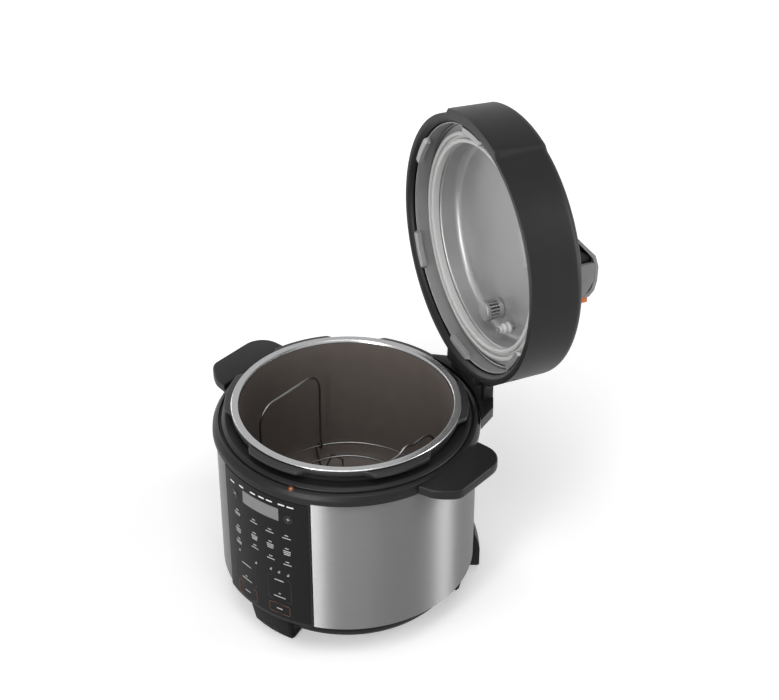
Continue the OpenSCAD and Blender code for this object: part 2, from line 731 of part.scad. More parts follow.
module lid_cover() {
  ri = lid_r - lid_round;
  outside = concat([[lid_r, lid_z]], arc(ri, lid_top - lid_round, lid_round, 0, 90),
    [for (i = [4:-1:0]) [ri * i / 5, top_at(ri * i / 5)]]);
  inside = concat([for (i = [0:4]) [ri * i / 5, top_at(ri * i / 5) - wall]],
    arc(ri, lid_top - lid_round, lid_round - wall, 90, 0), [[cover_wall, lid_z + 5.5],
    [lid_in, lid_z + 5.5], [lid_in, lid_z + 4], [lid_in + 3.7, lid_z]]);
  color(black) opened() difference() {
    union() {
      rotate_extrude() polygon(concat(outside, inside));
      // the raised front block
      difference() {
        arc_ring(lid_r - 2, lid_r + block_proud, lid_z, lid_top - 4, 180 - block_half, 180 + block_half);
        translate([0, 0, lid_z - 1]) cylinder(r = lid_r - 1.5, h = 100);
      }
      // posts that the liner is held to
      for (a = [60, 180, 300]) rotate([0, 0, a]) translate([64, 0, liner_top + seat_gap])
        cylinder(r = 5, h = top_at(64) - wall - liner_top, $fn = 32);
      // lugs that carry the lever's pin
      for (s = [-1, 1]) lever_frame() translate([-3.5, s * 7 - 1.5, -3.5]) cube([7, 3, 11.5]);
    }
    arc_ring(cover_wall - 2, lid_r + 1, slot_z, slot_z + slot_h, -tongue_half - lock_twist - 1,
      tongue_half + 1);
    translate([steam_at[0], steam_at[1], lid_z + 30]) cylinder(r = valve_stem_r + slide_gap, h = 60, $fn = 32);
    translate([float_at[0], float_at[1], lid_z + 30]) cylinder(r = float_head_r + slide_gap, h = 60, $fn = 32);
    translate([button_at[0], button_at[1], lid_z + 30]) cylinder(r = button_stem_r + slide_gap, h = 60, $fn = 32);
    lever_frame() rotate([90, 0, 0]) cylinder(r = lever_pin_r + pin_gap, h = 30, center = true, $fn = 32);
  }
}

module lid_liner() {
  t = liner_t;
  z = lid_z;
  color(steel) opened() difference() {
    union() {
      rotate_extrude() polygon(concat(
        [[skirt_r, z + 6.5], [skirt_r, shoulder_z + 0.4], [opening_r + 6, shoulder_z + 1.2],
         [dish_r, shoulder_z + 1.4]],
        [[dish_r, liner_top - 7]], arc(dish_r - 7, liner_top - 7, 7, 0, 90, 5),
        [[0, liner_top + 0.6]], [[0, liner_top + 0.6 - t]],
        arc(dish_r - 7, liner_top - 7, 7 - t, 90, 0, 5),
        [[dish_r - t, shoulder_z + 0.4], [opening_r + 6, shoulder_z + 0.2],
         [skirt_r - t, shoulder_z - 0.6], [skirt_r - t, z + 6.5]]));
      for (a = lid_lugs) rotate([0, 0, a - hinge_angle])
        arc_ring(lug_r - 3, skirt_r - 0.2, z + 2.5, lip_top - lug_t - 0.6, -lid_lug_half, lid_lug_half);
    }
    translate([steam_at[0], steam_at[1], z]) cylinder(r = 4, h = 80, $fn = 32);
    translate([float_at[0], float_at[1], z]) cylinder(r = float_r + slide_gap, h = 80, $fn = 32);
  }
}

lid_lugs = notches;

module seal_wire() {
  color(steel) opened() wire_ring(skirt_r - liner_t - 1.5 - seat_gap, 1.5, shoulder_z - 2.6);
}

module sealing_ring() {
  z0 = pot_rim_z + pot_rim_t + 0.4;
  z1 = shoulder_z + 0.2 - seat_gap;
  a = dish_r - liner_t + 0.4;
  b = opening_r + 5;
  color([0.85, 0.85, 0.82]) opened() rotate_extrude() polygon([
    [a, z1], [a, z0 + 1.3], [a + 1.5, z0], [a + 4.4, z0], [a + 4.4, z0 + 4.3], [b - 4.4, z0 + 4.3],
    [b - 4.4, z0], [b - 1.5, z0], [b, z0 + 1.3], [b, z1]]);
}

module steam_filter() {
  z1 = liner_top - liner_t;
  color(steel) opened() translate([steam_at[0], steam_at[1], 0]) difference() {
    translate([0, 0, z1 - 20]) cylinder(r = 11, h = 20 - seat_gap, $fn = 48);
    translate([0, 0, z1 - 18]) cylinder(r = 9.8, h = 20, $fn = 48);
    for (i = [0:11]) rotate([0, 0, 30 * i]) translate([8, -0.9, z1 - 14]) cube([5, 1.8, 9]);
  }
}

valve_stem_r = 3;
float_r = 2.2;
float_head_r = 4.5;
button_stem_r = 3;
lever_pin_r = 1.5;
seat_top = liner_top + 0.6 + seat_gap + 3;

module valve_seat() {
  color([0.75, 0.7, 0.6]) opened() translate([steam_at[0], steam_at[1], 0]) difference() {
    translate([0, 0, liner_top + 0.6 + seat_gap]) cylinder(r = 7, h = 3, $fn = 48);
    translate([0, 0, liner_top - 1]) cylinder(r = 2.2, h = 10, $fn = 32);
  }
}

module steam_valve() {
  cap_z = top_at(norm(steam_at)) + 1.5;
  color(black) opened() translate([steam_at[0], steam_at[1], 0]) {
    translate([0, 0, seat_top + seat_gap]) cylinder(r = valve_stem_r, h = cap_z - seat_top, $fn = 32);
    translate([0, 0, lever_z + lever_t / 2 + seat_gap]) cylinder(r = 5.4, h = 1.2, $fn = 32);
    translate([0, 0, cap_z]) cylinder(r = 10, h = 9, $fn = 48);
    translate([0, 0, cap_z + 9 - eps]) cylinder(r1 = 10, r2 = 8, h = 2, $fn = 48);
  }
}

module float_valve() {
  head_top = top_at(norm(float_at)) - 0.3;
  color([0.75, 0.2, 0.15]) opened() translate([float_at[0], float_at[1], 0]) {
    translate([0, 0, liner_top - 21]) cylinder(r = float_r, h = head_top - liner_top + 17, $fn = 32);
    translate([0, 0, liner_top + 0.9]) cylinder(r = float_head_r, h = head_top - liner_top - 0.9, $fn = 32);
  }
}

module float_seal() {
  z1 = liner_top - liner_t - 0.4 - float_travel - seat_gap;
  color([0.9, 0.9, 0.88]) opened() translate([float_at[0], float_at[1], 0]) difference() {
    union() {
      translate([0, 0, z1 - 8]) cylinder(r = 6, h = 8, $fn = 48);
      translate([0, 0, z1 - 13]) cylinder(r = 4, h = 5 + eps, $fn = 48);
    }
    translate([0, 0, z1 - 20]) cylinder(r = float_r + 0.1, h = 30, $fn = 32);
  }
}

// Profile of the lid handle, looking along it: front slope, top and back
core_top = lid_z + lid_handle_h - 4;
hand_gap = lid_handle_l - 70;

module handle_core() {
  color(black) opened() rotate([90, 0, 0]) {
    difference() {
      translate([0, 0, -lid_handle_l / 2 + 5]) linear_extrude(lid_handle_l - 10)
        polygon([[-27, top_at(27) + seat_gap], [-33, core_top - 22], [-19, core_top - 4], [-8, core_top],
          [8, core_top], [18, core_top - 3], [22, core_top - 8], [22, top_at(22) + seat_gap]]);
      // the gap that the hand goes through
      translate([-60, lid_z + 40, -hand_gap / 2]) cube([120, core_top - 14 - lid_z - 40, hand_gap]);
      // room for the lid's dome under the two feet
      rotate([-90, 0, 0]) rotate_extrude() polygon(concat([[0, lid_z]], [[lid_r, lid_z]],
        [for (i = [5:-1:0]) let (r = (lid_r - lid_round) * i / 5) [r, top_at(r) + seat_gap]]));
    }
  }
}

module lid_handle() {
  top = lid_z + lid_handle_h;
  color([0.42, 0.42, 0.43]) opened() rotate([90, 0, 0]) {
    translate([0, 0, -lid_handle_l / 2]) linear_extrude(lid_handle_l) polygon([
      [-44, core_top - 21], [-21.5, top - 4.5], [-8, top], [8, top], [19.5, top - 2.5], [25.5, top - 8],
      [25.5, top - 16], [22.3, top - 16], [22.3, core_top - 7.9], [18.1, core_top - 2.7],
      [8, core_top + 0.3], [-8, core_top + 0.3], [-19.2, core_top - 3.6], [-41, core_top - 22]]);
    for (s = [-1, 1]) translate([0, 0, s * (lid_handle_l / 2 - 2) - 1.8]) linear_extrude(3.6)
      polygon([[-13, core_top - 26], [-13, core_top + 0.4], [8, core_top + 0.4], [22, core_top - 8],
        [24, core_top - 12], [24, core_top - 26]]);
  }
}

// The lever's frame: origin on its pin, +X towards the steam valve
lever_mid = (steam_at + button_at) / 2;
lever_half = norm(steam_at - button_at) / 2;
lever_dir = atan2(steam_at[1] - button_at[1], steam_at[0] - button_at[0]);

module lever_frame() {
  translate([lever_mid[0], lever_mid[1], lever_z]) rotate([0, 0, lever_dir]) children();
}

module lever_pin() {
  color(steel) opened() lever_frame() rotate([90, 0, 0])
    cylinder(r = lever_pin_r, h = 17, center = true, $fn = 32);
}

module release_lever() {
  color([0.6, 0.6, 0.62]) opened() lever_frame() difference() {
    union() {
      translate([-lever_half - 5, -4, -lever_t / 2]) cube([2 * lever_half + 10, 8, lever_t]);
      rotate([90, 0, 0]) cylinder(r = lever_pin_r + 1.6, h = 8, center = true, $fn = 32);
    }
    rotate([90, 0, 0]) cylinder(r = lever_pin_r + pin_gap, h = 20, center = true, $fn = 32);
    translate([lever_half, 0, -5]) cylinder(r = valve_stem_r + 0.6, h = 10, $fn = 32);
    translate([lever_half, -valve_stem_r - 0.6, -5]) cube([10, 2 * valve_stem_r + 1.2, 10]);
  }
}

module release_button() {
  low = top_at(norm(button_at)) + button_travel + 0.5;
  color([0.9, 0.42, 0.12]) opened() {
    translate([button_at[0], button_at[1], lever_z + lever_t / 2 + seat_gap])
      cylinder(r = button_stem_r, h = low - lever_z, $fn = 32);
    translate([button_at[0] - 2, button_at[1] - 6.5, low]) cube([6.5, 14, lid_z + lid_handle_h - 9 - low]);
  }
}

bottom_cover();
rubber_feet();
steel_band();
top_ring();
hinge_bracket();
hinge_pin();
outer_pot();
heating_plate();
heating_element();
sensor_guide();
sensor_cap();
sensor_spring();
pressure_switch();
thermal_fuse();
power_board();
board_parts();
panel_housing();
panel_overlay();
display_lens();
display_module();
display_board();
power_inlet();
inlet_pins();
base_screws();
inner_pot();
rack_rings();
rack_legs();
rack_handle_left();
rack_handle_right();
lid_carrier();
lid_cover();
lid_liner();
seal_wire();
sealing_ring();
steam_filter();
valve_seat();
handle_core();
lid_handle();
lever_pin();
release_lever();
release_button();
steam_valve();
float_valve();
float_seal();
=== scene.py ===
"""An electric pressure cooker: heated body, lift-out pot, wire rack and hinged lid."""

from math import cos, pi, radians, sin, tan

import bmesh
import bpy
from mathutils import Matrix, Vector


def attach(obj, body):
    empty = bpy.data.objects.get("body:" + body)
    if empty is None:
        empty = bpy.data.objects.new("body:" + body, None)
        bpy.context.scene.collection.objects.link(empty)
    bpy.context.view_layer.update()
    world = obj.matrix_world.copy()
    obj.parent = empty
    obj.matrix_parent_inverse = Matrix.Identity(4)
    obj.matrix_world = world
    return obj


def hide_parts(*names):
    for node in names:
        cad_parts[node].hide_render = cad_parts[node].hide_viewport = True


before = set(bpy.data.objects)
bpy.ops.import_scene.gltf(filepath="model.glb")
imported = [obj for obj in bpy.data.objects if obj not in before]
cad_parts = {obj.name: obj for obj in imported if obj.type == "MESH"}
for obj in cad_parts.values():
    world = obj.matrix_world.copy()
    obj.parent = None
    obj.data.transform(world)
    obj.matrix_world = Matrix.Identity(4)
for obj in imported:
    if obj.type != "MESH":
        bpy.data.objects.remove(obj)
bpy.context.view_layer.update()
MM = 0.001

# ---- camera, floor and light ----

ROOM_LIGHT, SEEN_WHITE = 0.32, 1.0
FLOOR_HALF = 6

camera = bpy.data.objects.new("camera", bpy.data.cameras.new("camera"))
camera.location = (1.0101, -1.1298, 1.3251)
camera.rotation_euler = (radians(55.83), 0, radians(40.1))
camera.data.lens = 83.09
camera.data.sensor_width = 36
camera.data.sensor_fit = "HORIZONTAL"
bpy.context.scene.collection.objects.link(camera)
bpy.context.scene.camera = camera
bpy.context.scene.view_settings.view_transform = "Standard"


def seen_directly(nodes, links):
    """1 for rays from the eye, or by way of a reflection or through glass, and 0 for light."""
    path = nodes.new("ShaderNodeLightPath")
    seen = path.outputs["Is Camera Ray"]
    for kind in ("Is Glossy Ray", "Is Transmission Ray"):
        either = nodes.new("ShaderNodeMath")
        either.operation = "MAXIMUM"
        links.new(seen, either.inputs[0])
        links.new(path.outputs[kind], either.inputs[1])
        seen = either.outputs[0]
    return seen


world = bpy.data.worlds.new("studio")
bpy.context.scene.world = world
world.use_nodes = True
sky = world.node_tree
sky.nodes.clear()


def white(strength):
    """A white background of one strength."""
    background = sky.nodes.new("ShaderNodeBackground")
    background.inputs["Color"].default_value = (1, 1, 1, 1)
    background.inputs["Strength"].default_value = strength
    return background.outputs[0]


pick = sky.nodes.new("ShaderNodeMixShader")
sky_out = sky.nodes.new("ShaderNodeOutputWorld")
sky.links.new(seen_directly(sky.nodes, sky.links), pick.inputs["Fac"])
sky.links.new(white(ROOM_LIGHT), pick.inputs[1])
sky.links.new(white(SEEN_WHITE), pick.inputs[2])
sky.links.new(pick.outputs[0], sky_out.inputs["Surface"])


def lamp(name, place, aim, size, power, sheen_only=False):
    """A soft lamp, or with sheen_only a sheet that shows in metal and plastic and lights nothing."""
    light = bpy.data.lights.new(name, "AREA")
    light.shape = "RECTANGLE"
    light.size, light.size_y = size
    light.energy = power
    lamp_object = bpy.data.objects.new(name, light)
    lamp_object.location = place
    lamp_object.rotation_euler = (Vector(aim) - Vector(place)).to_track_quat("-Z", "Y").to_euler()
    lamp_object.visible_diffuse = not sheen_only
    bpy.context.scene.collection.objects.link(lamp_object)


lamp("top_light", (0.5, -0.56, 2.0), (0, 0, 0.25), (1.0, 1.0), 15)
lamp("front_strip", (0.33, -1.55, 0.74), (0, 0, 0.15), (0.32, 1.44), 13)
lamp("side_strip", (1.36, 0.9, 0.74), (0, 0, 0.15), (0.34, 1.44), 9)
lamp("rear_strip", (-1.6, 0.25, 0.75), (0, 0, 0.2), (0.3, 1.3), 5)
lamp("front_sheen", (0.33, -1.56, 0.74), (0, 0, 0.15), (0.54, 1.44), 17, sheen_only=True)
lamp("side_sheen", (1.37, 0.91, 0.74), (0, 0, 0.15), (0.56, 1.44), 10, sheen_only=True)


def make_floor():
    """A pale floor that keeps the cooker's shadow; its glow, seen only directly and in reflections, is weaker
    near the cooker, which paints a soft zone of shade round it, and shows white further out.
    """
    mesh = bpy.data.meshes.new("floor")
    corners = [(x * FLOOR_HALF, y * FLOOR_HALF, 0) for x, y in ((-1, -1), (1, -1), (1, 1), (-1, 1))]
    mesh.from_pydata(corners, [], [(0, 1, 2, 3)])
    floor = bpy.data.objects.new("floor", mesh)
    bpy.context.scene.collection.objects.link(floor)
    paper = bpy.data.materials.new("floor_paper")
    paper.use_nodes = True
    nodes, links = paper.node_tree.nodes, paper.node_tree.links
    nodes.clear()
    matt = nodes.new("ShaderNodeBsdfDiffuse")
    matt.inputs["Color"].default_value = (0.8, 0.8, 0.8, 1)
    glow = nodes.new("ShaderNodeEmission")
    spot = nodes.new("ShaderNodeTexCoord")
    reach = nodes.new("ShaderNodeVectorMath")
    reach.operation = "LENGTH"
    # The glow grows with the distance from the cooker's axis: weak near the cooker, a painted shade round it,
    # and strong further out.
    spread = nodes.new("ShaderNodeMapRange")
    for label, value in (("From Min", 0.25), ("From Max", 1.6), ("To Min", 0.34), ("To Max", 0.95)):
        spread.inputs[label].default_value = value
    links.new(spot.outputs["Object"], reach.inputs[0])
    links.new(reach.outputs["Value"], spread.inputs["Value"])
    links.new(spread.outputs["Result"], glow.inputs["Strength"])
    none = nodes.new("ShaderNodeEmission")
    none.inputs["Strength"].default_value = 0
    choose = nodes.new("ShaderNodeMixShader")
    both = nodes.new("ShaderNodeAddShader")
    out = nodes.new("ShaderNodeOutputMaterial")
    links.new(seen_directly(nodes, links), choose.inputs["Fac"])
    links.new(none.outputs[0], choose.inputs[1])
    links.new(glow.outputs[0], choose.inputs[2])
    links.new(matt.outputs[0], both.inputs[0])
    links.new(choose.outputs[0], both.inputs[1])
    links.new(both.outputs[0], out.inputs["Surface"])
    mesh.materials.append(paper)


make_floor()


# ---- finishes ----

def finish(name, colour, roughness, metallic=0.0, vary=0.0, rough_vary=0.0, grain=0.0,
           grain_size=1.5, stretch=(1, 1, 1), **sockets):
    """A finish with a little change of shade, of gloss and of height over the surface."""
    material = bpy.data.materials.new(name)
    material.use_nodes = True
    nodes, links = material.node_tree.nodes, material.node_tree.links
    shader = nodes["Principled BSDF"]
    shader.inputs["Base Color"].default_value = (*colour, 1)
    shader.inputs["Roughness"].default_value = roughness
    shader.inputs["Metallic"].default_value = metallic
    for socket, value in sockets.items():
        shader.inputs[socket.replace("_", " ")].default_value = value
    if "Anisotropic" in sockets:
        brushed = nodes.new("ShaderNodeTangent")
        brushed.direction_type = "RADIAL"
        brushed.axis = "Z"
        links.new(brushed.outputs[0], shader.inputs["Tangent"])
    place = nodes.new("ShaderNodeTexCoord")
    turn = nodes.new("ShaderNodeMapping")
    turn.inputs["Scale"].default_value = stretch
    links.new(place.outputs["Object"], turn.inputs["Vector"])
    if vary or rough_vary:
        cloud = nodes.new("ShaderNodeTexNoise")
        cloud.inputs["Scale"].default_value = 60
        cloud.inputs["Detail"].default_value = 6
        links.new(turn.outputs["Vector"], cloud.inputs["Vector"])
        if vary:
            shade = nodes.new("ShaderNodeMapRange")
            shade.inputs["To Min"].default_value = 1 - vary
            shade.inputs["To Max"].default_value = 1 + vary
            tint = nodes.new("ShaderNodeVectorMath")
            tint.operation = "SCALE"
            tint.inputs[0].default_value = colour
            links.new(cloud.outputs["Fac"], shade.inputs["Value"])
            links.new(shade.outputs["Result"], tint.inputs["Scale"])
            links.new(tint.outputs["Vector"], shader.inputs["Base Color"])
        if rough_vary:
            gloss = nodes.new("ShaderNodeMapRange")
            gloss.inputs["To Min"].default_value = max(roughness - rough_vary, 0.02)
            gloss.inputs["To Max"].default_value = roughness + rough_vary
            links.new(cloud.outputs["Fac"], gloss.inputs["Value"])
            links.new(gloss.outputs["Result"], shader.inputs["Roughness"])
    if grain:
        fine = nodes.new("ShaderNodeTexNoise")
        fine.inputs["Scale"].default_value = 1 / (grain_size * MM)
        fine.inputs["Detail"].default_value = 3
        bump = nodes.new("ShaderNodeBump")
        bump.inputs["Strength"].default_value = grain
        bump.inputs["Distance"].default_value = 0.0002
        links.new(turn.outputs["Vector"], fine.inputs["Vector"])
        links.new(fine.outputs["Fac"], bump.inputs["Height"])
        links.new(bump.outputs["Normal"], shader.inputs["Normal"])
    return material


black_plastic = finish("black_plastic", (0.0105, 0.0105, 0.011), 0.42, vary=0.15, rough_vary=0.05, grain=0.25,
                       Specular_IOR_Level=0.18)
band_steel = finish("band_steel", (0.2, 0.2, 0.203), 0.44, 1.0, vary=0.05, rough_vary=0.04, grain=0.3,
                    grain_size=1.2, stretch=(0.02, 0.02, 4), Anisotropic=1.0, Anisotropic_Rotation=0.25)
bright_steel = finish("bright_steel", (0.22, 0.22, 0.224), 0.3, 1.0, vary=0.04, rough_vary=0.05, grain=0.05)
liner_steel = finish("liner_steel", (0.33, 0.33, 0.333), 0.36, 0.35, vary=0.08, rough_vary=0.07, grain=0.12,
                     grain_size=2.5)
pin_steel = finish("pin_steel", (0.035, 0.035, 0.036), 0.4, 1.0, vary=0.08, rough_vary=0.05, grain=0.1)
lip_metal = finish("lip_metal", (0.024, 0.024, 0.0245), 0.36, vary=0.12, rough_vary=0.05, grain=0.15,
                   Specular_IOR_Level=0.25)
pot_outside = finish("pot_outside", (0.07, 0.07, 0.071), 0.54, 0.95, vary=0.1, rough_vary=0.05, grain=0.12,
                     grain_size=0.8, Anisotropic=0.95, Anisotropic_Rotation=0.25)
pot_inside = finish("pot_inside", (0.14, 0.12, 0.108), 0.45, vary=0.1, rough_vary=0.06, grain=0.12,
                    grain_size=0.9, Specular_IOR_Level=0.12)
pot_rim = finish("pot_rim", (0.4, 0.4, 0.405), 0.24, 1.0, vary=0.04, rough_vary=0.05, grain=0.06)
raw_aluminium = finish("raw_aluminium", (0.3, 0.3, 0.3), 0.45, 1.0, vary=0.1, rough_vary=0.08, grain=0.3,
                       grain_size=0.8)
panel_film = finish("panel_film", (0.0075, 0.0075, 0.008), 0.4, vary=0.06, rough_vary=0.04, grain=0.06,
                    Specular_IOR_Level=0.1)
mark_ink = finish("mark_ink", (0.46, 0.46, 0.46), 0.55, vary=0.1)
dash_ink = finish("dash_ink", (0.88, 0.88, 0.88), 0.5, vary=0.04)
orange_ink = finish("orange_ink", (0.16, 0.05, 0.022), 0.5, vary=0.1)
display_grey = finish("display_grey", (0.2, 0.2, 0.2), 0.4, vary=0.05, rough_vary=0.04,
                      Specular_IOR_Level=0.3)
handle_grey = finish("handle_grey", (0.25, 0.25, 0.255), 0.4, vary=0.06, rough_vary=0.05, grain=0.2,
                     Specular_IOR_Level=0.4)
orange_plastic = finish("orange_plastic", (0.72, 0.16, 0.025), 0.35, vary=0.06, rough_vary=0.05, grain=0.1,
                        Specular_IOR_Level=0.4)
lamp_orange = finish("lamp_orange", (0.17, 0.045, 0.015), 0.4, vary=0.05, Specular_IOR_Level=0.2)
# The lamp's pale centre is painted light: a bright spot painted on the top of its dome.
lamp_painted_spot = finish("lamp_painted_spot", (0.5, 0.28, 0.16), 0.4, vary=0.05, Specular_IOR_Level=0.2)
silicone = finish("silicone", (0.62, 0.62, 0.61), 0.4, vary=0.06, rough_vary=0.05, Transmission_Weight=0.12)
rubber = finish("rubber", (0.012, 0.012, 0.012), 0.7, vary=0.12, rough_vary=0.06, grain=0.3,
                Specular_IOR_Level=0.3)
board_green = finish("board_green", (0.02, 0.12, 0.05), 0.4, vary=0.12, rough_vary=0.06)
board_dark = finish("board_dark", (0.03, 0.03, 0.032), 0.5, vary=0.1, rough_vary=0.06)
ceramic = finish("ceramic", (0.6, 0.57, 0.48), 0.5, vary=0.06, rough_vary=0.05)
brass = finish("brass", (0.62, 0.48, 0.2), 0.3, 1.0, vary=0.06, rough_vary=0.06)
# A darker, duller copy of the black plastic for the bottom cover: painted shade for the low cover, which sits
# in shadow.
black_plastic_painted_shade = finish("black_plastic_painted_shade", (0.006, 0.006, 0.0063), 0.5, vary=0.15, rough_vary=0.05, grain=0.25,
                    Specular_IOR_Level=0.08)
well_black = finish("well_black", (0.006, 0.006, 0.006), 0.5, vary=0.15, rough_vary=0.06, grain=0.2,
                    Specular_IOR_Level=0.2)
key_black = finish("key_black", (0.003, 0.003, 0.003), 0.4, vary=0.1, rough_vary=0.04,
                   Specular_IOR_Level=0.25)
quiet_ink = finish("quiet_ink", (0.065, 0.065, 0.067), 0.5, vary=0.05, Specular_IOR_Level=0.3)

# ---- making pieces ----

MERGE, LEVEL = 2e-6, 1e-7   # metres: points that count as one, and an edge that counts as level
SHARP = 38                  # degrees: edges sharper than this stay hard


def measured(outline_at, start=0, sweep=360, steps=180, bands=None):
    """A solid turned round the cooker's axis, whose outline (radius, height) may change with the angle.

    bands gives the finish of each stretch of the outline, as a list of (first point, finish number).
    """
    shape = bmesh.new()
    whole = sweep == 360
    rings = []
    for i in range(steps if whole else steps + 1):
        angle = start + sweep * i / steps
        c, s = cos(radians(angle)), sin(radians(angle))
        rings.append([shape.verts.new((r * c * MM, r * s * MM, z * MM)) for r, z in outline_at(angle)])
    count = len(rings[0])
    for i in range(steps):
        one, two = rings[i], rings[(i + 1) % len(rings)]
        for k in range(count):
            n = (k + 1) % count
            face = shape.faces.new((one[k], two[k], two[n], one[n]))
            for first, number in bands or ():
                if k >= first:
                    face.material_index = number
    if not whole:
        shape.faces.new(rings[0])
        shape.faces.new(rings[-1][::-1])
    return shape


def turned(outline, *sweep, **steps):
    """A solid turned round the cooker's axis from one outline."""
    return measured(lambda angle: outline, *sweep, **steps)


def rounded(corners, steps=5):
    """Corners (radius, height, rounding) drawn as a smooth outline."""
    outline = []
    for i, (r, z, bend) in enumerate(corners):
        here = Vector((r, z))
        if not bend:
            outline.append((r, z))
            continue
        one = Vector(corners[i - 1][:2]) - here
        two = Vector(corners[(i + 1) % len(corners)][:2]) - here
        half = one.angle(two) / 2
        reach = min(bend / tan(half), 0.48 * one.length, 0.48 * two.length)
        centre = here + (one.normalized() + two.normalized()).normalized() * (reach / cos(half))
        start, end = here + one.normalized() * reach - centre, here + two.normalized() * reach - centre
        turn = start.angle(end)
        for k in range(steps + 1):
            t = k / steps
            point = centre + (start * sin((1 - t) * turn) + end * sin(t * turn)) / sin(turn)
            outline.append((point.x, point.y))
    return outline


def slab(outline, low, high, edge, steps):
    """A plate of even thickness with rounded rims, from its outline in plan."""
    shape = bmesh.new()
    floor = shape.faces.new([shape.verts.new((x * MM, y * MM, low * MM)) for x, y in outline])
    lifted = bmesh.ops.extrude_face_region(shape, geom=[floor])
    tops = [v for v in lifted["geom"] if isinstance(v, bmesh.types.BMVert)]
    bmesh.ops.translate(shape, verts=tops, vec=(0, 0, (high - low) * MM))
    rims = [e for e in shape.edges if abs(e.verts[0].co.z - e.verts[1].co.z) < LEVEL]
    bmesh.ops.bevel(shape, geom=rims, offset=edge * MM, segments=steps, profile=0.5, affect="EDGES")
    return shape


def joined(*shapes):
    """Several shapes in one."""
    whole = shapes[0]
    for other in shapes[1:]:
        carrier = bpy.data.meshes.new("carrier")
        other.to_mesh(carrier)
        other.free()
        whole.from_mesh(carrier)
        bpy.data.meshes.remove(carrier)
    return whole


def moved(shape, place):
    """A shape carried to its place."""
    bmesh.ops.transform(shape, matrix=place, verts=shape.verts)
    return shape


def shifted(x, y, z=0.0):
    """The move by so many mm."""
    return Matrix.Translation((x * MM, y * MM, z * MM))


def facing(out):
    """The turn that points a shape's top along a direction."""
    return Vector((0, 0, 1)).rotation_difference(out).to_matrix().to_4x4()


def round_bar(at, radius, low, high):
    """A round bar at a spot in plan, between two heights."""
    outline = [(0, low), (radius, low), (radius, high), (0, high)]
    return moved(turned(outline, steps=32), shifted(*at))


def settled(piece, body, nodes=()):
    """Puts a finished piece on its body in place of the plain solids."""
    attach(piece, body)
    if nodes:
        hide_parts(*nodes)


def linked(name, mesh):
    """A new object of a mesh, in the scene."""
    piece = bpy.data.objects.new(name, mesh)
    bpy.context.scene.collection.objects.link(piece)
    return piece


def smoothed(mesh, sharp=SHARP):
    """Smooth shading, but for edges sharper than so many degrees."""
    mesh.polygons.foreach_set("use_smooth", [True] * len(mesh.polygons))
    mesh.set_sharp_from_angle(angle=radians(sharp))


def made(shape, name, *finishes):
    """The object of a shape, with closed seams and its faces outwards."""
    bmesh.ops.remove_doubles(shape, verts=shape.verts, dist=MERGE)
    bmesh.ops.recalc_face_normals(shape, faces=shape.faces)
    mesh = bpy.data.meshes.new(name)
    shape.to_mesh(mesh)
    shape.free()
    for material in finishes:
        mesh.materials.append(material)
    smoothed(mesh)
    return linked(name, mesh)


def kept_result(piece):
    """Swaps a piece's modifiers for the plain mesh that they give."""
    bpy.context.view_layer.update()
    shown = piece.evaluated_get(bpy.context.evaluated_depsgraph_get())
    mesh = bpy.data.meshes.new_from_object(shown)
    piece.modifiers.clear()
    piece.data = mesh
    return piece


def without(piece, *cutters):
    """Cuts shapes out of a piece."""
    for shape in cutters:
        tool = made(shape, piece.name + "_cutter")
        cut = piece.modifiers.new("cut", "BOOLEAN")
        cut.operation = "DIFFERENCE"
        cut.solver = "EXACT"
        cut.object = tool
        kept_result(piece)
        bpy.data.objects.remove(tool)


FOOT_OUT, FOOT_TOP, FOOT_TALL, FOOT_ROUND = 112, 31, 4, 3.5


def foot_corner(edge):
    """Whether an edge of the bottom cover stands upright at the outer end of a foot."""
    one, two = (v.co / MM for v in edge.verts)
    return (min(one.xy.length, two.xy.length) > FOOT_OUT and max(one.z, two.z) < FOOT_TOP
            and abs(one.z - two.z) > FOOT_TALL and edge.calc_face_angle(0) > 0.8)


def softened(node, material, body, width, corners=None):
    """A copy of a plain solid whose sharp edges are rounded, and some corners more."""
    shape = bmesh.new()
    shape.from_mesh(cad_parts[node].data)
    bmesh.ops.remove_doubles(shape, verts=shape.verts, dist=MERGE)
    bmesh.ops.dissolve_limit(shape, angle_limit=radians(0.4), verts=shape.verts, edges=shape.edges)
    if corners:
        chosen = [edge for edge in shape.edges if corners(edge)]
        bmesh.ops.bevel(shape, geom=chosen, offset=FOOT_ROUND * MM, segments=4, profile=0.5, affect="EDGES")
    mesh = bpy.data.meshes.new(node + "_soft")
    shape.to_mesh(mesh)
    shape.free()
    mesh.materials.clear()
    mesh.materials.append(material)
    mesh.polygons.foreach_set("material_index", [0] * len(mesh.polygons))
    piece = linked(node + "_soft", mesh)
    rounding = piece.modifiers.new("rounding", "BEVEL")
    rounding.width = width * MM
    rounding.segments = 3
    rounding.limit_method = "ANGLE"
    rounding.angle_limit = radians(35)
    rounding.use_clamp_overlap = True
    kept_result(piece)
    smoothed(piece.data, 32)
    settled(piece, body, [node])


def new_tree(name, **inputs):
    """A node tree that takes a shape and named sizes and gives a shape back."""
    tree = bpy.data.node_groups.new(name, "GeometryNodeTree")
    tree.interface.new_socket("Geometry", in_out="INPUT", socket_type="NodeSocketGeometry")
    for label, kind in inputs.items():
        tree.interface.new_socket(label, in_out="INPUT", socket_type="NodeSocket" + kind)
    tree.interface.new_socket("Geometry", in_out="OUTPUT", socket_type="NodeSocketGeometry")
    return tree, tree.nodes.new("NodeGroupInput"), tree.nodes.new("NodeGroupOutput")


def grow(piece, tree, **sizes):
    """Runs a tree on a piece with the sizes given, and keeps the result as a plain mesh."""
    maker = piece.modifiers.new("maker", "NODES")
    maker.node_group = tree
    sockets = {item.name: item.identifier for item in tree.interface.items_tree if item.in_out == "INPUT"}
    for label, value in sizes.items():
        maker[sockets[label]] = value
    return kept_result(piece)


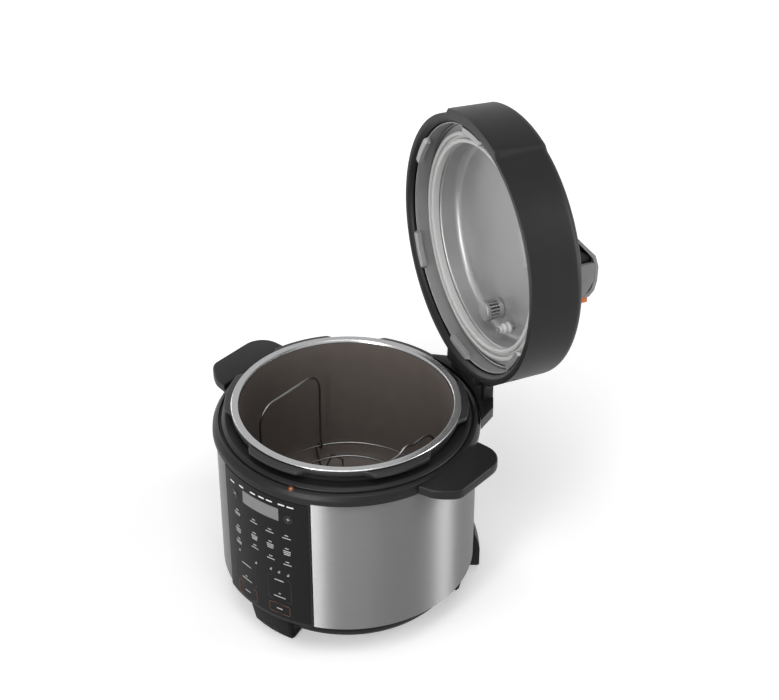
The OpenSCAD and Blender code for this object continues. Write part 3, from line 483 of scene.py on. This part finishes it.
def ended(tree, geometry, given, out):
    """Smooth shading, real copies and the finish, which every tree ends in."""
    nodes, links = tree.nodes, tree.links
    smooth = nodes.new("GeometryNodeSetShadeSmooth")
    real = nodes.new("GeometryNodeRealizeInstances")
    paint = nodes.new("GeometryNodeSetMaterial")
    links.new(geometry, smooth.inputs["Geometry"])
    links.new(smooth.outputs[0], real.inputs[0])
    links.new(real.outputs[0], paint.inputs["Geometry"])
    links.new(given.outputs["finish"], paint.inputs["Material"])
    links.new(paint.outputs[0], out.inputs[0])


def wire_tree():
    """Bent wire along the edges of a mesh, with rounded bends."""
    tree, given, out = new_tree("bent_wire", radius="Float", bend="Float", finish="Material")
    nodes, links = tree.nodes, tree.links
    run = nodes.new("GeometryNodeMeshToCurve")
    bends = nodes.new("GeometryNodeFilletCurve")
    bends.mode = "POLY"
    bends.inputs["Count"].default_value = 7
    bends.inputs["Limit Radius"].default_value = True
    section = nodes.new("GeometryNodeCurvePrimitiveCircle")
    section.inputs["Resolution"].default_value = 14
    sweep = nodes.new("GeometryNodeCurveToMesh")
    sweep.inputs["Fill Caps"].default_value = True
    links.new(given.outputs["Geometry"], run.inputs[0])
    links.new(run.outputs[0], bends.inputs["Curve"])
    links.new(given.outputs["bend"], bends.inputs["Radius"])
    links.new(given.outputs["radius"], section.inputs["Radius"])
    links.new(bends.outputs[0], sweep.inputs["Curve"])
    links.new(section.outputs[0], sweep.inputs["Profile Curve"])
    ended(tree, sweep.outputs[0], given, out)
    return tree


def bar_tree():
    """A small block at each point, with the size and the turn that the point carries."""
    tree, given, out = new_tree("small_bars", finish="Material")
    nodes, links = tree.nodes, tree.links
    block = nodes.new("GeometryNodeMeshCube")
    block.inputs["Size"].default_value = (1, 1, 1)
    copies = nodes.new("GeometryNodeInstanceOnPoints")
    size = nodes.new("GeometryNodeInputNamedAttribute")
    turn = nodes.new("GeometryNodeInputNamedAttribute")
    for carried, label in ((size, "size"), (turn, "turn")):
        carried.data_type = "FLOAT_VECTOR"
        carried.inputs["Name"].default_value = label
    euler = nodes.new("FunctionNodeEulerToRotation")
    links.new(turn.outputs["Attribute"], euler.inputs[0])
    links.new(given.outputs["Geometry"], copies.inputs["Points"])
    links.new(block.outputs["Mesh"], copies.inputs["Instance"])
    links.new(euler.outputs[0], copies.inputs["Rotation"])
    links.new(size.outputs["Attribute"], copies.inputs["Scale"])
    ended(tree, copies.outputs[0], given, out)
    return tree


BENT_WIRE = wire_tree()
SMALL_BARS = bar_tree()


def wires(name, runs, radius, bend, material):
    """Wires along runs of points; a run that closes is given as (points, True)."""
    mesh = bpy.data.meshes.new(name)
    points, edges = [], []
    for run, closes in runs:
        first = len(points)
        points += [Vector(p) * MM for p in run]
        edges += [(first + i, first + i + 1) for i in range(len(run) - 1)]
        if closes:
            edges.append((len(points) - 1, first))
    mesh.from_pydata(points, edges, [])
    return grow(linked(name, mesh), BENT_WIRE, radius=radius * MM, bend=bend * MM, finish=material)


def bars(name, rows, material, place=None):
    """Small blocks: each row is a place in mm, a turn and a size in mm."""
    mesh = bpy.data.meshes.new(name)
    mesh.from_pydata([Vector(spot) * MM for spot, _, _ in rows], [], [])
    size = mesh.attributes.new("size", "FLOAT_VECTOR", "POINT")
    turn = mesh.attributes.new("turn", "FLOAT_VECTOR", "POINT")
    for i, (_, spin, extent) in enumerate(rows):
        size.data[i].vector = Vector(extent) * MM
        turn.data[i].vector = spin
    piece = grow(linked(name, mesh), SMALL_BARS, finish=material)
    if place:
        piece.data.transform(place)
    piece.data.polygons.foreach_set("use_smooth", [False] * len(piece.data.polygons))
    return piece


# ---- sizes of the solids, in mm ----

OPENING_R, NECK_R = 114.8, 116.0
NOTCH_R, LUG_R = 119.5, 127.0
LIP_TOP, LUG_T = 232.0, 5.0
LID_Z, LID_R, LID_IN = 218.3, 141.0, 131.3
LID_TOP, LID_DOME, LID_ROUND = 277.3, 6.5, 9.0
SKIRT_R, DISH_R = 130.5, 108.2
SHOULDER_Z, LINER_TOP = 242.5, 266.8
HINGE_R, HINGE_Z = 147.0, 233.8
LID_TURN = 65
POT_Z, POT_RIM_Z, POT_RIM_R = 72.1, 232.3, 120.0
RACK_Z, RACK_OUT = 108.497, 93.1
GRIP_X, GRIP_W = 80.942, 45.967
LUGS = (-149, -85.4, -21.6, 42, 98.3, 154.7)
NOTCHES = (-117.2, -53.5, 10.2, 70.1, 126.5, 182.9)
STEAM_AT, FLOAT_AT, BUTTON_AT = (83, 4), (88, -27), (28, -85)
PANEL_R = 139.3

hinge = shifted(HINGE_R, 0, HINGE_Z)
LID_OPEN = (Matrix.Rotation(radians(LID_TURN), 4, "Z") @ hinge @ Matrix.Rotation(radians(91), 4, "Y")
            @ hinge.inverted())


def away(angle, middles):
    """Degrees from an angle to the nearest of some middles."""
    return min(abs((angle - m + 180) % 360 - 180) for m in middles)


def step(value, low, high):
    """0 below low and 1 above high, with a smooth slope between."""
    t = min(max((value - low) / (high - low), 0), 1)
    return t * t * (3 - 2 * t)


# ---- body ----

def shoulder_ring():
    """The top ring with its two side handles, which are hollow below."""
    outline = rounded([
        (117, 215, 0.4), (117, 219, 0.8), (126.4, 219, 3.5), (130.4, 216.8, 2.2), (131, 214.3, 0.5),
        (132.7, 214.1, 0.4), (133, 216.8, 0.6), (137, 215, 3.5), (139.6, 210.6, 3), (140, 206, 2),
        (140, 204.8, 0.3), (135.4, 204.8, 0), (135.4, 196, 0.3), (132.9, 196, 0.3), (132.9, 210, 0),
        (128, 214, 0)])
    reach, half, root, corner = 171.5, 48, 134.2, 24
    drawn_in, set_back, wall, hollow = 7, 3, 3.2, 6.5
    shapes = [turned(outline, steps=240)]
    for turn, front in ((0, -1), (180, 1)):
        grip = [(root, -half)]
        for start, y in ((-90, corner - half), (0, half - corner)):
            grip += [(reach - corner + corner * cos(radians(start + 90 * i / 14)),
                      y + corner * sin(radians(start + 90 * i / 14))) for i in range(15)]
        grip.append((root, half))
        grip = [(x, y - front * drawn_in * step(front * y, 10, 46) * step(x, 134, 165)) for x, y in grip]
        plate = slab(grip, 205.5, 216.5, 1.8, 4)
        under = min(plate.faces, key=lambda f: f.calc_center_median().z - f.calc_area() * 10)
        bmesh.ops.inset_region(plate, faces=[under], thickness=wall * MM)
        for vert in under.verts:
            vert.co.z += hollow * MM
        shapes.append(moved(plate, Matrix.Rotation(radians(turn), 4, "Z") @ shifted(0, -front * set_back)))
    piece = made(joined(*shapes), "shoulder_ring", black_plastic)
    settled(piece, "base", ["top_ring"])


def heating_well():
    """The outer pot with its six lugs, dull metal outside and black inside."""
    flange, lining = NECK_R + 11, 22

    def outline(angle):
        lug = 1 - step(away(angle, LUGS), 13.0, 18.8)
        reach = NOTCH_R + (LUG_R - NOTCH_R) * lug
        return rounded([
            (OPENING_R, LIP_TOP, 0.7), (reach, LIP_TOP - 0.6 * lug, 0.9), (reach, LIP_TOP - LUG_T, 0.9),
            (NECK_R + 1.2, LIP_TOP - LUG_T - 1.6, 1), (NECK_R, 222, 1), (NECK_R, 215.2, 0.2),
            (flange, 215.2, 0), (flange, 214, 0), (NECK_R, 214, 0), (NECK_R, 85.4, 1), (97.2, 55.5, 2),
            (92, 52.8, 0.6),
            (0, 52.8, 0), (0, 54, 0), (91.5, 54, 2), (96, 57, 3), (OPENING_R, 85.8, 6)])
    bands = [(0, 0), (len(outline(0)) - lining, 1)]
    piece = made(measured(outline, steps=480, bands=bands), "heating_well", lip_metal, well_black)
    settled(piece, "base", ["outer_pot"])


def well_rivet():
    """The small round head on the well's wall."""
    outline = rounded([(0, 0, 0), (3.4, 0, 0.2), (3.4, 0.5, 0.5), (2.4, 1.1, 0.6), (0, 1.2, 0)])
    spot, height = radians(85.9), 141
    outward = Vector((cos(spot), sin(spot), 0))
    place = shifted(*(outward * OPENING_R).xy, height) @ facing(-outward)
    piece = made(moved(turned(outline, steps=32), place), "well_rivet", raw_aluminium)
    settled(piece, "base")


# ---- pot and rack ----

def cooking_pot():
    """The lift-out pot, with its rolled rim and its dark inside."""
    corner, foot, top, wall = 34, 109, 112.6, 1.8
    mid, zc = foot - corner, POT_Z + corner
    neck = POT_RIM_Z - 6

    def bend(radius, first, last, count=14):
        """The pot's lower corner, from one angle to another."""
        return [(mid + radius * cos(radians(first + (last - first) * i / count)),
                 zc + radius * sin(radians(first + (last - first) * i / count))) for i in range(count + 1)]

    outside = [(0, POT_Z), (30, POT_Z), (60, POT_Z)] + bend(corner, -90, 0)
    outside += [(foot + (top - foot) * i / 8, zc + (neck - zc) * i / 8) for i in range(1, 9)]
    roll = rounded([
        (top, POT_RIM_Z - 1.5, 1), (top + 1.5, POT_RIM_Z, 1), (POT_RIM_R - 0.9, POT_RIM_Z - 0.05, 0.8),
        (POT_RIM_R, POT_RIM_Z + 0.9, 0.8), (POT_RIM_R - 1, POT_RIM_Z + 1.8, 0.8),
        (POT_RIM_R - 7.6, POT_RIM_Z + 1.8, 1.2), (top - wall, POT_RIM_Z - 1.4, 2)], 4)[5:]
    inside = [(top - wall - (top - foot) * i / 8, neck - (neck - zc) * i / 8) for i in range(8)]
    inside += bend(corner - wall, 0, -90) + [(60, POT_Z + wall), (30, POT_Z + wall), (0, POT_Z + wall)]
    rim = len(outside) - 1
    bands = [(0, 0), (rim, 1), (rim + len(roll), 2)]
    shape = turned(outside + roll + inside, steps=240, bands=bands)
    piece = made(shape, "cooking_pot", pot_outside, pot_rim, pot_inside)
    settled(piece, "pot", ["inner_pot"])


def circle(radius, height, count=144):
    """A level circle of points about the cooker's axis."""
    angles = [2 * pi * i / count for i in range(count)]
    return [(radius * cos(a), radius * sin(a), height) for a in angles]


RACK_WIRE, GRIP_WIRE, CURL_R = 1.0, 1.2, 2.6
RACK_SHARES = (1, 0.736, 0.49, 0.258)


def steam_rack():
    """The wire rack: four rings, two legs whose ends bend into feet, and two folding handles."""
    circles = [(circle(RACK_OUT * share, RACK_Z), True) for share in RACK_SHARES]
    rings = wires("rack_circles", circles, RACK_WIRE, 0, bright_steel)
    settled(rings, "rack", ["rack_rings"])
    leg_x, leg_y = RACK_OUT - 17.1, 0.483 * RACK_OUT
    low, high = RACK_Z - 30, RACK_Z - 2
    runs = []
    for s in (1, -1):
        y = s * leg_y
        side = [(leg_x + 12, y, high), (leg_x + 3.4, y, low - 0.3),
                (leg_x - 2, y, low - 0.3), (leg_x - 14, y, high), (leg_x - 29, y, high), (8, s * 4.6, high)]
        runs.append((side + [(-x, y, z) for x, y, z in side[::-1]], False))
    feet = wires("rack_feet", runs, RACK_WIRE, 3.4, bright_steel)
    settled(feet, "rack", ["rack_legs"])
    for name, side in (("left", -1), ("right", 1)):
        x = side * GRIP_X
        curl = [(CURL_R * sin(radians(a)), CURL_R * cos(radians(a))) for a in range(-60, 261, 20)]
        lift = 4.4 if side == 1 else 0
        crest = [(y, RACK_Z + 100.3 + lift * (0.5 + 0.5 * cos(pi * y / 12)))
                 for y in (12, 9.5, 7.5, 5.5, 3.5, 1.5)]
        arch = [(27 + 20.2 * cos(radians(7.5 * i)), RACK_Z + 76 + 24.3 * sin(radians(7.5 * i)))
                for i in range(13)] + crest
        bow = []
        for s in (-1, 1):
            eye = [(x + side * cx, s * GRIP_W, RACK_Z + cz) for cx, cz in curl]
            stem = eye[::-1] + [(x, s * (GRIP_W + 0.4), RACK_Z + 14)] + [(x, s * y, z) for y, z in arch]
            bow = stem if not bow else bow + stem[::-1]
        grip = wires("rack_grip_" + name, [(bow, False)], GRIP_WIRE, 1.5, bright_steel)
        settled(grip, "rack_handle_" + name, ["rack_handle_" + name])


# ---- lid ----

def lid_drum():
    """The lid's black drum with the bare block on its front, and the posts that hold the liner."""
    inner, bend_z, skin = LID_R - LID_ROUND, LID_TOP - LID_ROUND, 2.5
    turn_in, proud, post_at, post_r = LID_ROUND - skin, 5, 64, 5

    def top_at(r):
        """The height of the gently domed top."""
        return LID_TOP + LID_DOME * (1 - (r / inner) ** 2)

    def outline(angle):
        block = proud * (1 - step(away(angle, (180,)), 19.8, 22.6))
        points = [(LID_R + block - 0.6, LID_Z), (LID_R + block, LID_Z + 0.6)]
        points += [(LID_R + block * (1 - 0.4 * i / 6), LID_Z + 5 + 45 * i / 6) for i in range(7)]
        for i in range(13):
            a = radians(90 * i / 12)
            points.append((inner + LID_ROUND * cos(a) + 0.6 * block, bend_z + LID_ROUND * sin(a)))
        points += [(inner * i / 10, top_at(inner * i / 10)) for i in range(9, -1, -1)]
        points += [(inner * i / 10, top_at(inner * i / 10) - skin) for i in range(10)]
        points += [(inner + turn_in * cos(radians(90 - 90 * i / 8)),
                    bend_z + turn_in * sin(radians(90 - 90 * i / 8))) for i in range(9)]
        return points + [(138.5, LID_Z + 5.5), (LID_IN, LID_Z + 5.5), (LID_IN, LID_Z + 4.2),
                         (LID_IN + 0.4, LID_Z + 3.5), (LID_IN + 3.7, LID_Z + 0.4), (LID_IN + 4.6, LID_Z)]

    slot = [(136.5, LID_Z + 8), (150, LID_Z + 8), (150, LID_Z + 13), (136.5, LID_Z + 13)]
    holes = [round_bar(at, radius, LID_Z + 40, LID_Z + 90)
             for at, radius in ((STEAM_AT, 3.5), (FLOAT_AT, 5), (BUTTON_AT, 3.5))]
    piece = made(measured(outline, steps=288), "lid_drum", black_plastic)
    without(piece, turned(slot, -46, 67, 60), *holes)
    piece.data.transform(LID_OPEN)
    smoothed(piece.data)
    posts = []
    for angle in (60, 180, 300):
        post = round_bar((post_at, 0), post_r, LINER_TOP + 0.3, top_at(post_at) - 2)
        posts.append(moved(post, Matrix.Rotation(radians(angle), 4, "Z")))
    inside = made(moved(joined(*posts), LID_OPEN), "lid_posts", black_plastic)
    settled(inside, "lid")
    settled(piece, "lid", ["lid_cover"])


def lid_dish():
    """The lid's metal liner, with the lugs that turn under the lip's."""
    notches = [n - LID_TURN for n in NOTCHES]

    def outline(angle):
        lug = 1 - step(away(angle, notches), 8.3, 9.3)
        low = LID_Z + 6.5 - 4 * lug
        lip = SKIRT_R - 1.1 - 5.3 * lug
        return rounded([
            (SKIRT_R, low, 0.3), (SKIRT_R, SHOULDER_Z + 0.4, 2.2), (OPENING_R + 6, SHOULDER_Z + 1.2, 2),
            (DISH_R + 0.4, SHOULDER_Z + 1.4, 2.5), (DISH_R, LINER_TOP + 0.5, 9), (60, LINER_TOP + 0.5, 20),
            (0, LINER_TOP + 0.6, 0), (0, LINER_TOP - 0.4, 0), (60, LINER_TOP - 0.5, 20),
            (DISH_R - 1, LINER_TOP - 0.5, 8), (DISH_R - 1, SHOULDER_Z + 0.4, 3),
            (OPENING_R + 6, SHOULDER_Z + 0.2, 2), (SKIRT_R - 1, SHOULDER_Z - 0.6, 1.6),
            (SKIRT_R - 1, LID_Z + 8.1, 0.3), (lip, LID_Z + 8.1, 0.3),
            (lip, low + 0.05, 0.3)], 6)

    piece = made(measured(outline, steps=360), "lid_dish", liner_steel)
    holes = [round_bar(at, radius, LINER_TOP - 5, LINER_TOP + 5)
             for at, radius in ((STEAM_AT, 4), (FLOAT_AT, 2.7))]
    without(piece, *holes)
    piece.data.transform(LID_OPEN)
    smoothed(piece.data)
    settled(piece, "lid", ["lid_liner"])


def seal():
    """The silicone ring between the liner's shoulder and the lip."""
    low, high = 234.5, 242.4
    a, b = DISH_R - 0.6, OPENING_R + 5
    outline = rounded([
        (a, high, 0.8), (a, low + 0.4, 1.2), (a + 2.2, low, 1.2), (a + 4.4, low, 0.8),
        (a + 4.4, low + 4.3, 0.6), (b - 4.4, low + 4.3, 0.6), (b - 4.4, low, 0.8), (b - 2.2, low, 1.2),
        (b, low + 0.4, 1.2), (b, high, 0.8)], 4)
    shape = moved(turned(outline, steps=240), LID_OPEN)
    settled(made(shape, "seal_lip", silicone), "lid", ["sealing_ring"])


def steam_cap():
    """The cap over the steam outlet, open between its ribs."""
    top = LINER_TOP - 1.3
    place = LID_OPEN @ shifted(*STEAM_AT)
    crown = rounded([(0, top - 20, 0), (10.6, top - 20, 1.4), (11, top - 18.2, 0.3), (11, top - 15.6, 0.3),
                     (9.2, top - 15.6, 0.3), (9.2, top - 17.6, 0.6), (0, top - 17.6, 0)], 4)
    foot = rounded([(9.2, top - 4.6, 0.3), (11, top - 4.6, 0.3), (11, top, 0.3), (9.2, top, 0.3)], 4)
    shape = joined(turned(crown, steps=72), turned(foot, steps=72))
    piece = made(moved(shape, place), "steam_cap", liner_steel)
    settled(piece, "lid", ["steam_filter"])
    angles = [2 * pi * i / 18 for i in range(18)]
    ribs = [((10 * cos(a), 10 * sin(a), top - 10.1), (0, 0, a), (1.8, 1.5, 11.2)) for a in angles]
    cage = bars("steam_cap_ribs", ribs, liner_steel, place)
    settled(cage, "lid")


def float_cup():
    """The float's silicone cup, which hangs below the liner by the float's rise."""
    wall, gap, rise, clear = 1, 0.4, 4, 0.3
    high = LINER_TOP - wall - gap - rise - clear
    outline = rounded([
        (2.4, high, 0.3), (5.9, high, 0.8), (6, high - 2.4, 0.5), (5.2, high - 3.2, 0.5),
        (5.6, high - 7.6, 1.4), (3.9, high - 8.4, 0.8), (3.8, high - 12.4, 1.2), (2.4, high - 12.9, 0.4)], 4)
    shape = moved(turned(outline, steps=48), LID_OPEN @ shifted(*FLOAT_AT))
    settled(made(shape, "float_cup", silicone), "float_valve", ["float_seal"])


# ---- control panel ----

def on_panel(angle, height, out):
    """A spot on the panel's film, and the turn that lays a bar flat on it."""
    a = radians(angle)
    across = Vector((-sin(a), cos(a), 0))
    axes = Matrix((across, Vector((0, 0, 1)), Vector((cos(a), sin(a), 0)))).transposed()
    return ((PANEL_R + out) * cos(a), (PANEL_R + out) * sin(a), height), axes.to_euler("XYZ")


def panel_bars(name, rows, material, thick=0.16):
    """Printed bars on the panel: each row is an angle, a height, a width and a height of its own."""
    placed = []
    for angle, height, width, tall in rows:
        spot, turn = on_panel(angle, height, 0.06)
        placed.append((spot, turn, (width, tall, thick)))
    settled(bars(name, placed, material), "base")


def panel_outline(a0, a1, z0, z1, corner=2.2):
    """A closed run round a key on the panel's curve."""
    per, wire_r = PANEL_R * pi / 180, PANEL_R + 0.1
    run = []
    corners = [(a1, z1, 0), (a0, z1, 90), (a0, z0, 180), (a1, z0, 270)]
    for a, z, first in corners:
        ca = a - corner / per if a == a1 else a + corner / per
        cz = z - corner if z == z1 else z + corner
        for i in range(5):
            t = radians(first + 22.5 * i)
            angle = radians(ca + corner / per * cos(t))
            run.append((wire_r * cos(angle), wire_r * sin(angle), cz + corner * sin(t)))
    return run


def key_disc(name, angle, height):
    """A round key with a raised rim."""
    outline = rounded([
        (0, 0, 0), (5.4, 0, 0.1), (5.4, 0.25, 0.15), (4.5, 0.32, 0.1), (4.2, 0.12, 0.1), (0, 0.12, 0)], 3)
    spot, turn = on_panel(angle, height, 0.02)
    place = Matrix.Translation(Vector(spot) * MM) @ turn.to_matrix().to_4x4()
    shape = moved(turned(outline, steps=48), place)
    settled(made(shape, name, key_black), "base")


MINUS_KEY, PLUS_KEY = (-103.7, 176.9), (-73.7, 178.7)


def control_marks():
    """The panel's plain bars, key outlines and two round keys, at angles in degrees and heights in mm."""
    dashes = [(-105.3, 189.8), (-98.6, 192.6), (-91.5, 193.8), (-86.7, 194.5), (-82.6, 194.8), (-76.7, 195.2),
              (-72.6, 195)]
    panel_bars("panel_dashes", [(a, z, 7.2, 1.5) for a, z in dashes], dash_ink)
    labels = []
    columns = ((-102.5, (157, 136, 119)), (-91.7, (159.5, 142, 126)), (-83, (158, 142, 123)),
               (-74.8, (157, 140, 122)))
    for angle, heights in columns:
        for row, z in enumerate(heights):
            labels.append((angle, z, 4.2, 1.1))
            labels.append((angle, z - 3.6, 9.5 if row != 1 else 8.6, 1.1))
            if row == 1 or angle < -100:
                labels.append((angle, z - 5.8, 8.2, 1.1))
            if row == 1:
                labels.append((angle, z - 8.0, 7.2, 1.1))
    for angle, z in ((-102.5, 103), (-91.6, 101.5), (-83.3, 104.5), (-79.2, 104), (-74.8, 103.5)):
        labels += [(angle, z, 2.6, 1.2), (angle + 0.3, z + 1.9, 1.6, 1.0)]
    labels += [(-98, 90, 15, 1.1), (-98, 70, 15.5, 1.1), (-98.5, 74, 2.6, 1.4), (-79.2, 93.5, 11, 1.3),
               (-79.3, 71, 14, 1.1), (-79.3, 75.5, 2.4, 1.3), (-98, 54, 8.5, 1.1), (-79.6, 54.4, 7, 1.3)]
    panel_bars("panel_labels", labels, mark_ink)
    warm = [(panel_outline(-104, -92, 46, 62), True), (panel_outline(-84.7, -74.5, 48, 60.6), True)]
    settled(wires("panel_key_outlines", warm, 0.28, 0, orange_ink), "base")
    quiet = [(panel_outline(-105, -92, 66, 95), True), (panel_outline(-85, -73.6, 66, 97), True)]
    settled(wires("panel_quiet_outlines", quiet, 0.14, 0, quiet_ink), "base")
    key_disc("minus_key", *MINUS_KEY)
    key_disc("plus_key", *PLUS_KEY)
    panel_bars("minus_mark", [(*MINUS_KEY, 3.6, 0.7)], mark_ink, 0.5)
    panel_bars("plus_mark", [(*PLUS_KEY, 3.8, 0.55), (*PLUS_KEY, 0.55, 3.8)], mark_ink, 0.5)


def status_lamp():
    """The small orange light on the shoulder of the ring, with a pale spot of painted light at the top of its
    dome.
    """
    outline = rounded([
        (0, -1, 0), (2.8, -1, 0), (2.8, 0.3, 0.4), (1.9, 0.75, 0.4), (0.9, 0.85, 0.2), (0, 0.9, 0)], 4)
    a, lean, radius, height = radians(-72.7), radians(40), 135.3, 215.9
    out = Vector((cos(a) * sin(lean), sin(a) * sin(lean), cos(lean)))
    place = shifted(radius * cos(a), radius * sin(a), height) @ facing(out)
    # The cap at the top of the dome takes the pale finish, a painted bright spot.
    centre = len(outline) - 2
    shape = moved(turned(outline, steps=32, bands=[(0, 0), (centre, 1)]), place)
    settled(made(shape, "status_lamp", lamp_orange, lamp_painted_spot), "base")


for build in (shoulder_ring, heating_well, well_rivet, cooking_pot, steam_rack, lid_drum, lid_dish, seal,
              steam_cap, float_cup, control_marks, status_lamp):
    build()

SOFTENED = (
    # The bottom cover takes the darker copy of the black plastic, painted shade.
    ("bottom_cover", black_plastic_painted_shade, "base", "black_plastic", 1.0),
    ("hinge_bracket", black_plastic, "base", "black_plastic", 0.8),
    ("panel_housing", black_plastic, "base", "black_plastic", 0.5),
    ("power_inlet", black_plastic, "base", "black_plastic", 0.5),
    ("lid_carrier", black_plastic, "lid_carrier", "black_plastic", 0.8),
    ("handle_core", black_plastic, "lid", "black_plastic", 0.8),
    ("lid_handle", handle_grey, "lid", "handle_grey", 1.1),
    ("release_button", orange_plastic, "release_button", "orange", 0.8),
    ("steam_valve", black_plastic, "steam_valve", "black_plastic", 0.5),
    ("release_lever", handle_grey, "release_lever", "handle_grey", 0.3),
    ("base_screws", bright_steel, "base", "bright_steel", 0.2),
    ("rubber_feet", rubber, "base", "rubber_black", 0.4),
)
for node, material, body, slot, width in SOFTENED:
    corners = foot_corner if node == "bottom_cover" else None
    softened(node, material, body, width, corners=corners)

KEPT = {
    band_steel: ["steel_band"],
    bright_steel: ["sensor_spring", "seal_wire", "lever_pin"],
    pin_steel: ["hinge_pin"],
    liner_steel: ["heating_element", "float_valve"],
    raw_aluminium: ["heating_plate", "sensor_cap"],
    panel_film: ["panel_overlay"],
    display_grey: ["display_lens"],
    board_green: ["power_board", "display_board"],
    board_dark: ["board_parts", "display_module"],
    ceramic: ["sensor_guide", "pressure_switch", "thermal_fuse", "valve_seat"],
    brass: ["inlet_pins"],
}
for material, names in KEPT.items():
    for name in names:
        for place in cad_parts[name].material_slots:
            place.material = material
